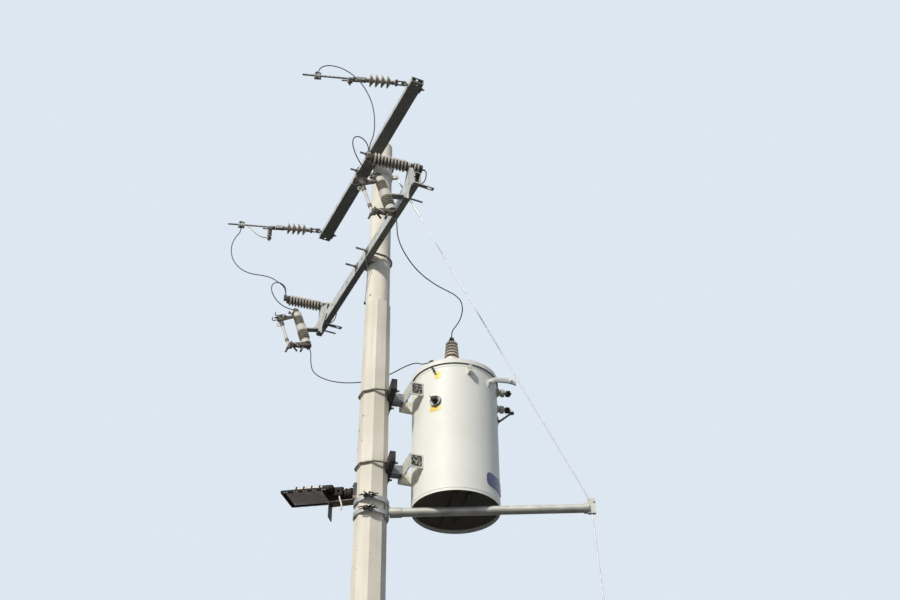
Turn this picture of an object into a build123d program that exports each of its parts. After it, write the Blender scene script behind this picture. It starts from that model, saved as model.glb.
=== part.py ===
"""Pole mounted transformer on a concrete pole, with its crossarms, cutouts, arresters and strut guy.

Frame: origin at the centre of the pole's foot, +Z up, +Y along the crossarms,
+X from the crossarms towards the transformer. Millimetres.
"""
import os
from math import cos, hypot, pi, radians, sin, sqrt, tan

from build123d import *

os.makedirs("parts", exist_ok=True)

# General fits
seat = 0.3                      # clearance of a piece on the surface that carries it
octagon_half_step = 22.5        # from the middle of an octagon's face to its corner

# Pole: octagonal below, round above
pole_height = 9300
pole_tip_width = 150            # diameter at the tip
pole_taper = 0.015              # growth of the width for each millimetre down
octagon_drop = 1670             # from the tip to the top of the octagon
shoulder_drop = 14              # height of the small slope where the octagon ends
tip_round = 12

# Crossarms: two rolled tubes, the upper one laid flat, the lower one on edge
arm_length = 2000
arm_wide = 100
arm_narrow = 50
arm_wall = 4
arm_corner = 7
upper_arm_drop = 272            # from the pole's tip to the upper arm's underside
arm_spacing = 1033
arm_hole = 18
hole_pitch = 315                # spacing of the free holes along the lower arm
end_hole = 980                  # from the pole to the upright hole near each end of the upper arm

# Saddle between the lower arm and the pole
saddle_web = 8
saddle_width = 130
saddle_plate = 10

# U bolts that hold the arms to the pole
u_rod = 16
u_leg_spacing = 210
upper_u_stick_out = 62
lower_u_stick_out = 92
nut_across = 24
nut_thick = 13
washer_side = 55
washer_thick = 5

# Dead end strings at the ends of the upper arm
string_turn = 162.3             # direction of the strings, anticlockwise from +X
string_rows = {"near": -928, "far": 935}
eye_rod = 12
eye_ring = 34                   # diameter of the eye at the middle of its rod
eye_stand_off = 32              # from the arm's face to the middle of the eye
shackle_rod = 12
shackle_leg = 40
shackle_pin = 14
shackle_eye = 22
tongue_thick = 16
tongue_height = 28
tongue_end = 14                 # from the pin's middle to the end of a tongue
tongue_root = 20                # from the pin's middle to the socket
socket_length = 15
socket_diameter = 36
shed_zone = 173
string_core = 30
string_shed = 98
string_sheds = 4
fork_plate = 8
fork_block = (22, 58)           # the solid part of the fork, measured from its pin
grip_leg = 8
grip_start = 137                # from the fork's pin to where the two legs join
grip_length = 330
grip_diameter = 15
tap_clamp_at = 215              # along the grip to the middle of the tap clamp
tap_clamp = (52, 26, 40)
tail_stub = (120, 11, 24)        # the cut end beside the grip: length, diameter, distance

# Arresters over the ends of the lower arm
arrester_turn = 173.3
arrester_rows = {"near": -900, "far": 905}
arrester_length = 385
arrester_core = 58
arrester_shed = 92
arrester_sheds = 14
arrester_rise = 243             # over the lower arm's underside
arrester_inner_x = -45
arrester_cap = 18
stud_diameter = 12
stud_length = 24
arrester_clamp = (22, 24, 56)    # holds two wires on the outer stud
arrester_clamp_rise = 18

# Arrester brackets: a gusset on the arm's outer face, a slotted bar below the arm and a bolt
gusset_thick = 6
# the gusset's points are measured from the cutout's row and the arm's underside
gusset_low = [(45, 53), (-57, -32), (-103, -82), (-109, -38), (-206, 49), (-168, 162)]
gusset_high = (-9, 61)
gusset_tab = 26                 # half the width of the tab below the arrester
gusset_hole = (-10, 62)         # from the arrester's row and the arm's middle
collar_diameter = 62            # plain part of the arrester that the bracket holds
collar_band = 5
collar_width = 20
slot_bar_width = 30
slot_bar_thick = 6
slot_bar_lap = 56               # height of its turned end on the gusset
slot_bar_offset = -85
slot_bar_reach = 105            # past the inner face of the arm
slot_length = 34
slot_width = 13
bolt_diameter = 14
bolt_offset = 25                # from the cutout's row
bolt_reach = 110

# Cutouts on the outer side of the lower arm
cutout_tilt = 20                # the top of each insulator leans away from the arm
cutout_rows = {"near": -800, "far": 950}
cutout_x = -285
cutout_drop = 10                # below the lower arm's underside
cutout_length = 285
cutout_core = 56
cutout_rib = {"lower": 86, "upper": 76}
cutout_cap = 72
cutout_cap_length = 34
cutout_band = 68
cutout_band_length = 58
cutout_ribs = 4                 # in each of the two groups
contact_width = 30
cutout_terminal = (40, 26, 36)
cutout_terminal_at = (-80, 177)  # its outer upper edge, from the insulator's middle
contact_drop = 24               # from the cap's top to the contact's arm
bracket_ring = 6                # thickness of the clamp round the insulator's middle band
bracket_foot = (8, 54, 74)
bracket_bar = 9
cutout_reach = 158              # from the insulator's axis to the fuse tube's axis
cutout_plate = 8
fuse_tube_diameter = 24
fuse_tube_top = 70              # along the insulator, from its middle
fuse_clearance = 5.5
hinge_pin = 8
hinge_running_gap = 0.1
hinge_side_gap = 0.6
hinge_ear = 6
trunnion_width = 34

# Transformer tank
tank_turn = -13                 # direction of the tank from the pole
tank_distance = 582
tank_diameter = 610
tank_drop = 2045                # from the lower arm's underside to the tank's
tank_height = 1050
tank_recess = 28
tank_skirt = 5
band_height = 34
band_thick = 10
cover_flange = 8
cover_rise = 46
skid_width = 22
skid_height = 18
skid_spacing = 96
skid_length = 470

# Hangers: lugs on the tank, crossbars and straps on the pole
hanger_rows = {"upper": 858, "lower": 268}     # over the tank's bottom
lug_turn = 8                    # of the lugs about the tank, from the tank's own frame
lug_width = 256
lug_height = 104
lug_front = 377                 # from the tank's middle to the lug's face
lug_plate = 8
lug_slot = 24
bar_start = 88                  # from the pole's axis to the bar's face
bar_depth = 40
bar_height = 80
bar_length = 400
spacer_width = 70
spacer_height = 66
hanger_bolt = 16
bolt_clearance = 2
strap_rod = 15
strap_lift = 2.5                # the rod touches the corners and bows over the faces
strap_bend = 34
strap_stick_out = 30
strap_corners = (-112.5, -157.5, 157.5, 112.5, 67.5)

# High voltage bushings on the cover: direction and distance from the tank's centre
# and the way its terminal faces
hv_spots = {"front": (-107, 215, 0), "rear": (146, 180, 138)}
hv_boss = 56
hv_height = 180
hv_core = 52
hv_shed = 104
hv_sheds = 5
hv_stud = 12
hv_stud_length = 30
hv_terminal = (30, 22, 14)

# Low voltage bushings on the tank's outer side
lv_spots = {"near": (-100, 950), "middle": (0, 875), "far": (100, 950)}
lv_length = 58
lv_diameter = 54
lv_waist = 40
lv_spade = (50, 26, 7)

# Lifting lugs and badge on the tank's wall, with their directions round the tank
lifting_turns = (-83, 97)
lifting_lug = (46, 22, 56)      # out from the wall, along it, and its height
lifting_level = 965
lifting_hole = 22
badge_turn = (-37, 44)          # middle and sweep, in degrees
badge_level = 140
badge_height = 100
badge_thick = 4

# Strut and guy
strut_turn = -27
strut_drop = 70                 # below the tank's bottom
strut_diameter = 60
strut_bore = 52
strut_reach = 1445
sleeve_diameter = 70
sleeve_length = 74
foot_plate = (6, 86, 150)       # of the strut's foot: thickness, width and height
foot_neck = (40, 46)            # width and height of the block between the two bands
foot_middle = 15                # above the strut's axis
band_spacing = 90
strut_band_height = 34
strut_band_thick = 7
band_joint_turn = -119          # where each band is drawn together
band_joint = (18, 40, 26)       # out from the band, along it, and its height
band_bolt = 12
end_cap = 8
end_cheek = (52, 6, 110)
cheek_slot = 12                 # between the two cheeks, for the guy
guy_diameter = 10
guy_top_drop = 77               # of the guy's upper eye below the upper arm
guy_eye_reach = 118             # of that eye from the pole's axis
guy_bend_at = (1466, 55)        # the bend, out from the pole's axis and above the strut's
guy_foot = (1716, 330)
guy_grip_gap = 48               # from the middle of an eye to the wrapped grip
guy_grip_length = 420
guy_grip_diameter = 15
guy_eye_hole = 14
guy_eye_ring = 9
guy_band_height = 50
guy_band_thick = 5
guy_lug = 30
guy_pin = 12
anchor_rod_diameter = 19
anchor_eye_hole = 26
anchor_eye_bar = 9

# Street lamp
lamp_turn = 143
lamp_rise = 155                 # over the strut
lamp_tilt = 3
lamp_start = 262
lamp_length = 355
lamp_width = 205
lamp_thick = 46
lamp_round = 16
lens_margin = 17
lens_proud = 3
lamp_fins = 7
lamp_fin = (150, 4, 14)
lamp_arm_section = (58, 50)     # width and height of the bracket's beam
lamp_arm_rise = 160             # of the beam's middle over the strut
lamp_plate = (8, 100, 120)
lamp_tray = (286, 74, 6)        # reach from the pole's axis, width and thickness
lamp_tab = (110, 6)             # how far the tray's end hangs down, and its thickness
lamp_bolt = 16
lamp_socket = (34, 20, 8)       # out of the housing, into it, and its wall


# Heights above ground that follow from the sizes above
octagon_top = pole_height - octagon_drop
upper_arm_bottom = pole_height - upper_arm_drop
lower_arm_bottom = upper_arm_bottom - arm_spacing
arrester_height = lower_arm_bottom + arrester_rise
cutout_z = lower_arm_bottom - cutout_drop
tank_bottom = lower_arm_bottom - tank_drop
tank_rim = tank_bottom + tank_height
strut_z = tank_bottom - strut_drop
guy_top = (guy_eye_reach, upper_arm_bottom - guy_top_drop)
guy_bend = (guy_bend_at[0], strut_z + guy_bend_at[1])
lamp_z = strut_z + lamp_rise
lamp_arm_z = strut_z + lamp_arm_rise

# Jumper wires, each from its first clamp to its last by points chosen along its route
wire_diameter = 8
jumpers = {
    "near_line_jumper": [
        (-833.8, -728.7, 9065.3), (-833.8, -728.7, 9130), (-778, -747, 9182), (-690, -790, 9158),
        (-606, -830, 9086), (-534, -854, 8996), (-476, -862, 8896), (-434, -864, 8786),
        (-414, -863, 8670), (-410, -864, 8554), (-418, -863, 8448), (-443, -859.3, 8362),
        (-443, -859.3, 8284.3),
    ],
    "near_arrester_jumper": [
        (-441.6, -847.4, 8284.3), (-441.6, -847.4, 8340), (-472, -860, 8390), (-530, -878, 8398),
        (-576, -890, 8360), (-586, -890, 8298), (-564, -878, 8238), (-522, -852, 8190),
        (-470, -822, 8160), (-420, -800, 8150), (-365.3, -800, 8150),
    ],
    "near_bushing_lead": [
        (-206.7, -800, 7816.5), (-188.7, -800, 7767), (-186, -796, 7692), (-172, -788, 7622),
        (-138, -774, 7556), (-82, -750, 7502), (-14, -716, 7466), (66, -674, 7452),
        (154, -628, 7456), (244, -578, 7474), (334, -526, 7504), (420, -470, 7536),
        (496, -412, 7548), (532, -362, 7512), (526, -334, 7444), (494, -322, 7376),
        (459.6, -317.1, 7322), (459.6, -317.1, 7264.9),
    ],
    "far_line_jumper": [
        (-833.8, 1134.3, 9024.7), (-833.8, 1134.3, 8972), (-862, 1146, 8925), (-888, 1158, 8850),
        (-890, 1161, 8762), (-872, 1152, 8676), (-836, 1135, 8604), (-784, 1111, 8546),
        (-716, 1080, 8508), (-640, 1045, 8494), (-566, 1009, 8470), (-504, 980, 8418),
        (-441.6, 957.6, 8354), (-441.6, 957.6, 8284.3),
    ],
    "far_arrester_jumper": [
        (-443, 945.7, 8284.3), (-443, 945.7, 8334), (-466, 948, 8378), (-516, 952, 8394),
        (-560, 955, 8364), (-568, 955, 8308), (-550, 954, 8254), (-516, 953, 8206),
        (-470, 951, 8168), (-418, 950, 8150), (-365.3, 950, 8150),
    ],
    "far_bushing_lead": [
        (-206.7, 950, 7816.5), (-188.7, 950, 7767), (-192, 940, 7695), (-188, 922, 7620),
        (-178, 901, 7555), (-138, 843, 7480), (-90, 773, 7418), (-36, 695, 7366),
        (21, 613, 7325), (81, 526, 7293), (141, 440, 7270), (200, 354, 7262),
        (260, 267, 7276), (317, 185, 7296), (368, 111, 7294), (401, 62.4, 7251.6),
        (435.5, 13.2, 7251.6),
    ],
}


def pole_radius(z):
    """Half the pole's width across flats, or half its diameter, at height z."""
    return (pole_tip_width + pole_taper * (pole_height - z)) / 2


def octagon_corner(z):
    """Distance from the pole's axis to a corner of its octagon at height z."""
    return pole_radius(z) / cos(radians(octagon_half_step))


def octagon_reach(z, turn):
    """How far the octagon reaches from the pole's axis in one direction."""
    off_corner = (turn + octagon_half_step) % 45
    return octagon_corner(z) * cos(radians(min(off_corner, 45 - off_corner)))


def on(place, plane):
    """A plane given in a piece's own frame, moved to where the piece is."""
    return Plane(place * plane.location)


def corner_radii(points):
    """The largest arc that fits at each corner of a wire's route."""
    radii = []
    for before, corner, after in zip(points, points[1:], points[2:]):
        arriving = Vector(corner) - Vector(before)
        leaving = Vector(after) - Vector(corner)
        half_turn = radians(arriving.get_angle(leaving)) / 2
        radii.append(0.45 * min(arriving.length, leaving.length) / tan(half_turn))
    return radii


def finish(builder, name):
    """Label a finished sub-part and write it under its node's name."""
    builder.part.label = name
    export_step(builder.part, f"parts/{name}.step")


# Pole
with BuildPart() as pole:
    with BuildSketch(Plane.XY):
        RegularPolygon(pole_radius(0), 8, major_radius=False, rotation=octagon_half_step)
    with BuildSketch(Plane.XY.offset(octagon_top)):
        RegularPolygon(pole_radius(octagon_top), 8, major_radius=False, rotation=octagon_half_step)
    loft()
    with BuildSketch(Plane.XZ):
        with BuildLine():
            Polyline(
                (0, octagon_top),
                (octagon_corner(octagon_top) - shoulder_drop / 2, octagon_top),
                (pole_radius(octagon_top + shoulder_drop), octagon_top + shoulder_drop),
                (pole_tip_width / 2, pole_height - tip_round),
                (pole_tip_width / 2 - tip_round, pole_height),
                (0, pole_height),
                close=True,
            )
        make_face()
    revolve(axis=Axis.Z)
finish(pole, "pole")

# Upper crossarm, laid flat against the pole
upper_mid_z = upper_arm_bottom + arm_narrow / 2
upper_inner_x = -(pole_radius(upper_arm_bottom) + seat)
upper_outer_x = upper_inner_x - arm_wide
upper_mid_x = (upper_inner_x + upper_outer_x) / 2
with BuildPart() as upper_crossarm:
    with BuildSketch(Plane.XZ):
        with Locations((upper_mid_x, upper_mid_z)):
            RectangleRounded(arm_wide, arm_narrow, arm_corner)
            Rectangle(arm_wide - 2 * arm_wall, arm_narrow - 2 * arm_wall, mode=Mode.SUBTRACT)
    extrude(amount=arm_length / 2, both=True)
    with BuildSketch(Plane.YZ.offset(upper_outer_x - 1)):
        with Locations(*[(y, upper_mid_z) for y in (-u_leg_spacing / 2, u_leg_spacing / 2)]):
            Circle(arm_hole / 2)
        with Locations(*[(y, upper_mid_z) for y in string_rows.values()]):
            Circle(arm_hole / 2)
    extrude(amount=arm_wide + 2, mode=Mode.SUBTRACT)
    with BuildSketch(Plane.XY.offset(upper_arm_bottom - 1)):
        with Locations((upper_mid_x, -end_hole), (upper_mid_x, end_hole)):
            Circle(arm_hole / 2)
    extrude(amount=arm_narrow + 2, mode=Mode.SUBTRACT)
finish(upper_crossarm, "upper_crossarm")

# Lower crossarm, on edge, with the saddle between it and the pole
lower_mid_z = lower_arm_bottom + arm_wide / 2
saddle_bore = pole_radius(lower_arm_bottom) + seat
lower_inner_x = -(saddle_bore + saddle_web)
lower_outer_x = lower_inner_x - arm_narrow
lower_mid_x = (lower_inner_x + lower_outer_x) / 2
lower_u_y = (-u_leg_spacing / 2, u_leg_spacing / 2)
free_hole_y = (-2 * hole_pitch, -hole_pitch, 0, hole_pitch, 2 * hole_pitch)
bracket_bolt_y = [y + bolt_offset for y in cutout_rows.values()]
with BuildPart() as lower_crossarm:
    with BuildSketch(Plane.XZ):
        with Locations((lower_mid_x, lower_mid_z)):
            RectangleRounded(arm_narrow, arm_wide, arm_corner)
            Rectangle(arm_narrow - 2 * arm_wall, arm_wide - 2 * arm_wall, mode=Mode.SUBTRACT)
    extrude(amount=arm_length / 2, both=True)
    with BuildSketch(Plane.YZ.offset(lower_outer_x - 1)):
        with Locations(*[(y, lower_mid_z) for y in (*lower_u_y, *free_hole_y, *bracket_bolt_y)]):
            Circle(arm_hole / 2)
    extrude(amount=arm_narrow + 2, mode=Mode.SUBTRACT)
    with BuildSketch(Plane.XY.offset(lower_arm_bottom - 1)):
        with Locations((lower_mid_x, -hole_pitch), (lower_mid_x, hole_pitch)):
            Circle(arm_hole / 2)
    extrude(amount=arm_wide + 2, mode=Mode.SUBTRACT)
finish(lower_crossarm, "lower_crossarm")

with BuildPart() as arm_saddle:
    with BuildSketch(Plane.XY.offset(lower_arm_bottom)):
        with Locations((lower_inner_x, 0)):
            Rectangle(saddle_bore / 2, saddle_width, align=(Align.MIN, Align.CENTER))
        Circle(saddle_bore, mode=Mode.SUBTRACT)
    extrude(amount=arm_wide)
    with Locations((lower_inner_x + saddle_web, 0, lower_mid_z)):
        Box(
            saddle_bore,
            saddle_width + 2,
            arm_wide - 2 * saddle_plate,
            align=(Align.MIN, Align.CENTER, Align.CENTER),
            mode=Mode.SUBTRACT,
        )
finish(arm_saddle, "arm_saddle")


# U bolts with their nuts and plate washers
for name, level, outer_x, stick_out in (
    ("upper_u_bolt", upper_mid_z, upper_outer_x, upper_u_stick_out),
    ("lower_u_bolt", lower_mid_z, lower_outer_x, lower_u_stick_out),
):
    leg_y = u_leg_spacing / 2
    bend_x = pole_radius(level - u_rod) + seat + u_rod / 2 - leg_y
    end_x = outer_x - stick_out
    with BuildPart() as u_bolt:
        with BuildLine(Plane.XY.offset(level)):
            Line((end_x, -leg_y), (bend_x, -leg_y))
            ThreePointArc((bend_x, -leg_y), (bend_x + leg_y, 0), (bend_x, leg_y))
            Line((bend_x, leg_y), (end_x, leg_y))
        with BuildSketch(Plane(origin=(end_x, -leg_y, level), z_dir=(1, 0, 0))):
            Circle(u_rod / 2)
        sweep()
        washer_x = outer_x - seat - washer_thick / 2
        with Locations((washer_x, -leg_y, level), (washer_x, leg_y, level)):
            Box(washer_thick, washer_side, washer_side)
        with BuildSketch(Plane.YZ.offset(outer_x - seat - washer_thick - nut_thick)):
            with Locations((-leg_y, level), (leg_y, level)):
                RegularPolygon(nut_across / 2, 6, major_radius=False)
        extrude(amount=nut_thick)
    finish(u_bolt, name)

# Dead end strings: eye bolt and shackle, insulator, then the fork with its grip
eye_hole = (eye_ring - eye_rod) / 2
bow_x = eye_hole - shackle_rod / 2 - 2.5
shackle_half = (shackle_rod + eye_rod) / 2 + 6
pin_x = bow_x + shackle_half + shackle_leg
shed_start = pin_x + tongue_root + socket_length
shed_end = shed_start + shed_zone
fork_pin = shed_end + socket_length + tongue_root
for side, row_y in string_rows.items():
    string_at = Location((upper_outer_x - eye_stand_off, row_y, upper_mid_z), (0, 0, string_turn))
    with BuildPart() as hardware:
        with BuildSketch(on(string_at, Plane.XZ)):
            Circle((eye_ring + eye_rod) / 2)
            Circle(eye_hole, mode=Mode.SUBTRACT)
        extrude(amount=eye_rod / 2 + 1, both=True)
        with BuildSketch(Plane.YZ.offset(upper_outer_x - eye_stand_off + eye_ring / 2)):
            with Locations((row_y, upper_mid_z)):
                Circle(eye_rod / 2)
        extrude(amount=eye_stand_off - eye_ring / 2 + arm_wide + 35)
        with BuildSketch(Plane.YZ.offset(upper_inner_x + seat)):
            with Locations((row_y, upper_mid_z)):
                Rectangle(washer_side, washer_side)
        extrude(amount=washer_thick)
        with BuildSketch(Plane.YZ.offset(upper_inner_x + seat + washer_thick)):
            with Locations((row_y, upper_mid_z)):
                RegularPolygon(nut_across / 2, 6, major_radius=False)
        extrude(amount=nut_thick)
        # the shackle's bow goes through the eye and its pin through the tongue
        with BuildLine(on(string_at, Plane.XY)):
            Line((pin_x, -shackle_half), (bow_x + shackle_half, -shackle_half))
            ThreePointArc(
                (bow_x + shackle_half, -shackle_half),
                (bow_x, 0),
                (bow_x + shackle_half, shackle_half),
            )
            Line((bow_x + shackle_half, shackle_half), (pin_x, shackle_half))
        with BuildSketch(on(string_at, Plane(origin=(pin_x, -shackle_half, 0), z_dir=(-1, 0, 0)))):
            Circle(shackle_rod / 2)
        sweep()
        with Locations(string_at * Location((pin_x, 0, 0), (90, 0, 0))):
            Cylinder(shackle_pin / 2, 2 * shackle_half + shackle_rod + 14)
        with Locations(
            string_at * Location((pin_x, -shackle_half, 0), (90, 0, 0)),
            string_at * Location((pin_x, shackle_half, 0), (90, 0, 0)),
        ):
            Cylinder(shackle_eye / 2, shackle_rod + 2)
    finish(hardware, f"{side}_string_hardware")

    with BuildPart() as insulator:
        shed_pitch = shed_zone / string_sheds
        with BuildSketch(on(string_at, Plane.XZ)):
            with BuildLine():
                outline = [(pin_x + tongue_root, 0), (pin_x + tongue_root, socket_diameter / 2)]
                outline += [(shed_start, socket_diameter / 2)]
                for shed in range(string_sheds):
                    shed_x = shed_start + shed * shed_pitch
                    outline += [
                        (shed_x, string_core / 2),
                        (shed_x + 0.15 * shed_pitch, string_core / 2),
                        (shed_x + 0.68 * shed_pitch, string_shed / 2),
                        (shed_x + 0.8 * shed_pitch, string_shed / 2),
                        (shed_x + 0.8 * shed_pitch, string_core / 2),
                    ]
                outline += [(shed_end, string_core / 2), (shed_end, socket_diameter / 2)]
                outline += [(shed_end + socket_length, socket_diameter / 2)]
                outline += [(shed_end + socket_length, 0)]
                Polyline(*outline, close=True)
            make_face()
        revolve(axis=Axis.X.located(string_at))
        with BuildSketch(on(string_at, Plane.XZ)):
            with Locations((pin_x - tongue_end, 0)):
                Rectangle(tongue_end + shed_start - pin_x, tongue_height, align=(Align.MIN, Align.CENTER))
            with Locations((fork_pin + tongue_end, 0)):
                Rectangle(tongue_end + shed_start - pin_x, tongue_height, align=(Align.MAX, Align.CENTER))
        extrude(amount=tongue_thick / 2, both=True)
        with BuildSketch(on(string_at, Plane.XZ)):
            with Locations((pin_x, 0), (fork_pin, 0)):
                Circle(shackle_pin / 2 + seat)
        extrude(amount=tongue_thick, both=True, mode=Mode.SUBTRACT)
    finish(insulator, f"{side}_string_insulator")

    fork_gap = tongue_thick / 2 + seat
    with BuildPart() as grip:
        with Locations(string_at * Location((fork_pin - tongue_end, 0, 0))):
            Box(
                tongue_end + fork_block[1],
                2 * (fork_gap + fork_plate),
                tongue_height,
                align=(Align.MIN, Align.CENTER, Align.CENTER),
            )
        with Locations(string_at * Location((fork_pin + fork_block[0], 0, 0))):
            Box(
                2 * fork_block[0] + tongue_end,
                2 * fork_gap,
                tongue_height + 2,
                align=(Align.MAX, Align.CENTER, Align.CENTER),
                mode=Mode.SUBTRACT,
            )
        with Locations(string_at * Location((fork_pin, 0, 0), (90, 0, 0))):
            Cylinder(shackle_pin / 2, 2 * (fork_gap + fork_plate) + 16)
        for leg_side in (-1, 1):
            with BuildLine(on(string_at, Plane.XY)):
                Line(
                    (fork_pin + fork_block[1] - grip_leg, leg_side * fork_gap),
                    (fork_pin + grip_start + grip_leg, leg_side * grip_leg / 3),
                )
            leg_plane = Plane(
                origin=(fork_pin + fork_block[1] - grip_leg, leg_side * fork_gap, 0),
                z_dir=(grip_start - fork_block[1] + 2 * grip_leg, leg_side * (grip_leg / 3 - fork_gap), 0),
            )
            with BuildSketch(on(string_at, leg_plane)):
                Circle(grip_leg / 2)
            sweep()
        with BuildSketch(on(string_at, Plane.YZ.offset(fork_pin + grip_start))):
            Circle(grip_diameter / 2)
        extrude(amount=grip_length)
        with Locations(string_at * Location((fork_pin + grip_start + tap_clamp_at, 0, -tap_clamp[2] / 5))):
            Box(*tap_clamp)
        with BuildSketch(on(string_at, Plane.YZ.offset(fork_pin + fork_block[1] - grip_leg))):
            with Locations((-tail_stub[2] / 2, -tail_stub[2] / 2)):
                Circle(tail_stub[1] / 2)
        extrude(amount=tail_stub[0])
    finish(grip, f"{side}_dead_end_grip")

# Arresters and the brackets that hold them and the cutouts
gusset_x = lower_outer_x - seat - gusset_thick
collar_at = (arrester_inner_x - gusset_x - gusset_thick / 2) / cos(radians(180 - arrester_turn))
for side, row_y in arrester_rows.items():
    cutout_y = cutout_rows[side]
    arrester_at = Location((arrester_inner_x, row_y, arrester_height), (0, 0, arrester_turn))
    collar_y = row_y + collar_at * sin(radians(180 - arrester_turn))
    with BuildPart() as arrester:
        ribs_length = arrester_length - 2 * arrester_cap
        rib_pitch = ribs_length / arrester_sheds
        with BuildSketch(on(arrester_at, Plane.XZ)):
            with BuildLine():
                outline = [(0, 0), (0, arrester_core / 2 + 3), (arrester_cap, arrester_core / 2 + 3)]
                for rib in range(arrester_sheds):
                    rib_x = arrester_cap + rib * rib_pitch
                    if abs(rib_x + rib_pitch / 2 - collar_at) < rib_pitch:
                        continue
                    outline += [
                        (rib_x, arrester_core / 2),
                        (rib_x + 0.25 * rib_pitch, arrester_core / 2),
                        (rib_x + 0.5 * rib_pitch, arrester_shed / 2),
                        (rib_x + 0.68 * rib_pitch, arrester_shed / 2),
                        (rib_x + 0.8 * rib_pitch, arrester_core / 2),
                    ]
                outline += [
                    (arrester_length - arrester_cap, arrester_core / 2),
                    (arrester_length - arrester_cap, arrester_core / 2 + 3),
                    (arrester_length, arrester_core / 2 + 3),
                    (arrester_length, 0),
                ]
                Polyline(*outline, close=True)
            make_face()
        revolve(axis=Axis.X.located(arrester_at))
        with Locations(arrester_at * Location((collar_at, 0, 0), (0, 90, 0))):
            Cylinder(collar_diameter / 2, collar_width + 6)
        with Locations(arrester_at * Location((arrester_length / 2, 0, 0), (0, 90, 0))):
            Cylinder(stud_diameter / 2, arrester_length + 2 * stud_length)
        clamp_at = arrester_length + stud_length - arrester_clamp[0] / 2 + 2
        with Locations(arrester_at * Location((clamp_at, 0, arrester_clamp_rise))):
            Box(*arrester_clamp)
    finish(arrester, f"{side}_arrester")

    with BuildPart() as bracket:
        with BuildSketch(Plane.YZ.offset(gusset_x)):
            with BuildLine():
                outline = [(cutout_y + y, lower_arm_bottom + z) for y, z in gusset_low]
                outline += [(collar_y - gusset_tab, arrester_height - collar_diameter / 2)]
                outline += [(collar_y + gusset_tab, arrester_height - collar_diameter / 2)]
                outline += [(cutout_y + gusset_high[0], lower_arm_bottom + gusset_high[1])]
                Polyline(*outline, close=True)
            make_face()
            with Locations((row_y + slot_bar_offset, lower_arm_bottom - seat - slot_bar_thick)):
                Rectangle(slot_bar_width, slot_bar_lap, align=(Align.CENTER, Align.MIN))
            with Locations((cutout_y + bolt_offset, lower_mid_z)):
                Circle(bolt_diameter / 2 + 1, mode=Mode.SUBTRACT)
            gusset_hole_y = row_y + gusset_hole[0]
            with Locations((gusset_hole_y, lower_mid_z), (gusset_hole_y, lower_mid_z + gusset_hole[1])):
                Circle(slot_width / 2, mode=Mode.SUBTRACT)
        extrude(amount=gusset_thick)
        with BuildSketch(Plane.XY.offset(lower_arm_bottom - seat - slot_bar_thick)):
            with Locations((gusset_x, row_y + slot_bar_offset)):
                Rectangle(
                    lower_inner_x + slot_bar_reach - gusset_x,
                    slot_bar_width,
                    align=(Align.MIN, Align.CENTER),
                )
            with Locations((lower_inner_x + slot_bar_reach - slot_length, row_y + slot_bar_offset)):
                SlotOverall(slot_length, slot_width, mode=Mode.SUBTRACT)
        extrude(amount=slot_bar_thick)
        with Locations(arrester_at * Location((collar_at, 0, 0), (0, 90, 0))):
            Cylinder(collar_diameter / 2 + seat + collar_band, collar_width)
            Cylinder(collar_diameter / 2 + seat, collar_width + gusset_thick * 3, mode=Mode.SUBTRACT)
    finish(bracket, f"{side}_arrester_bracket")

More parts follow.
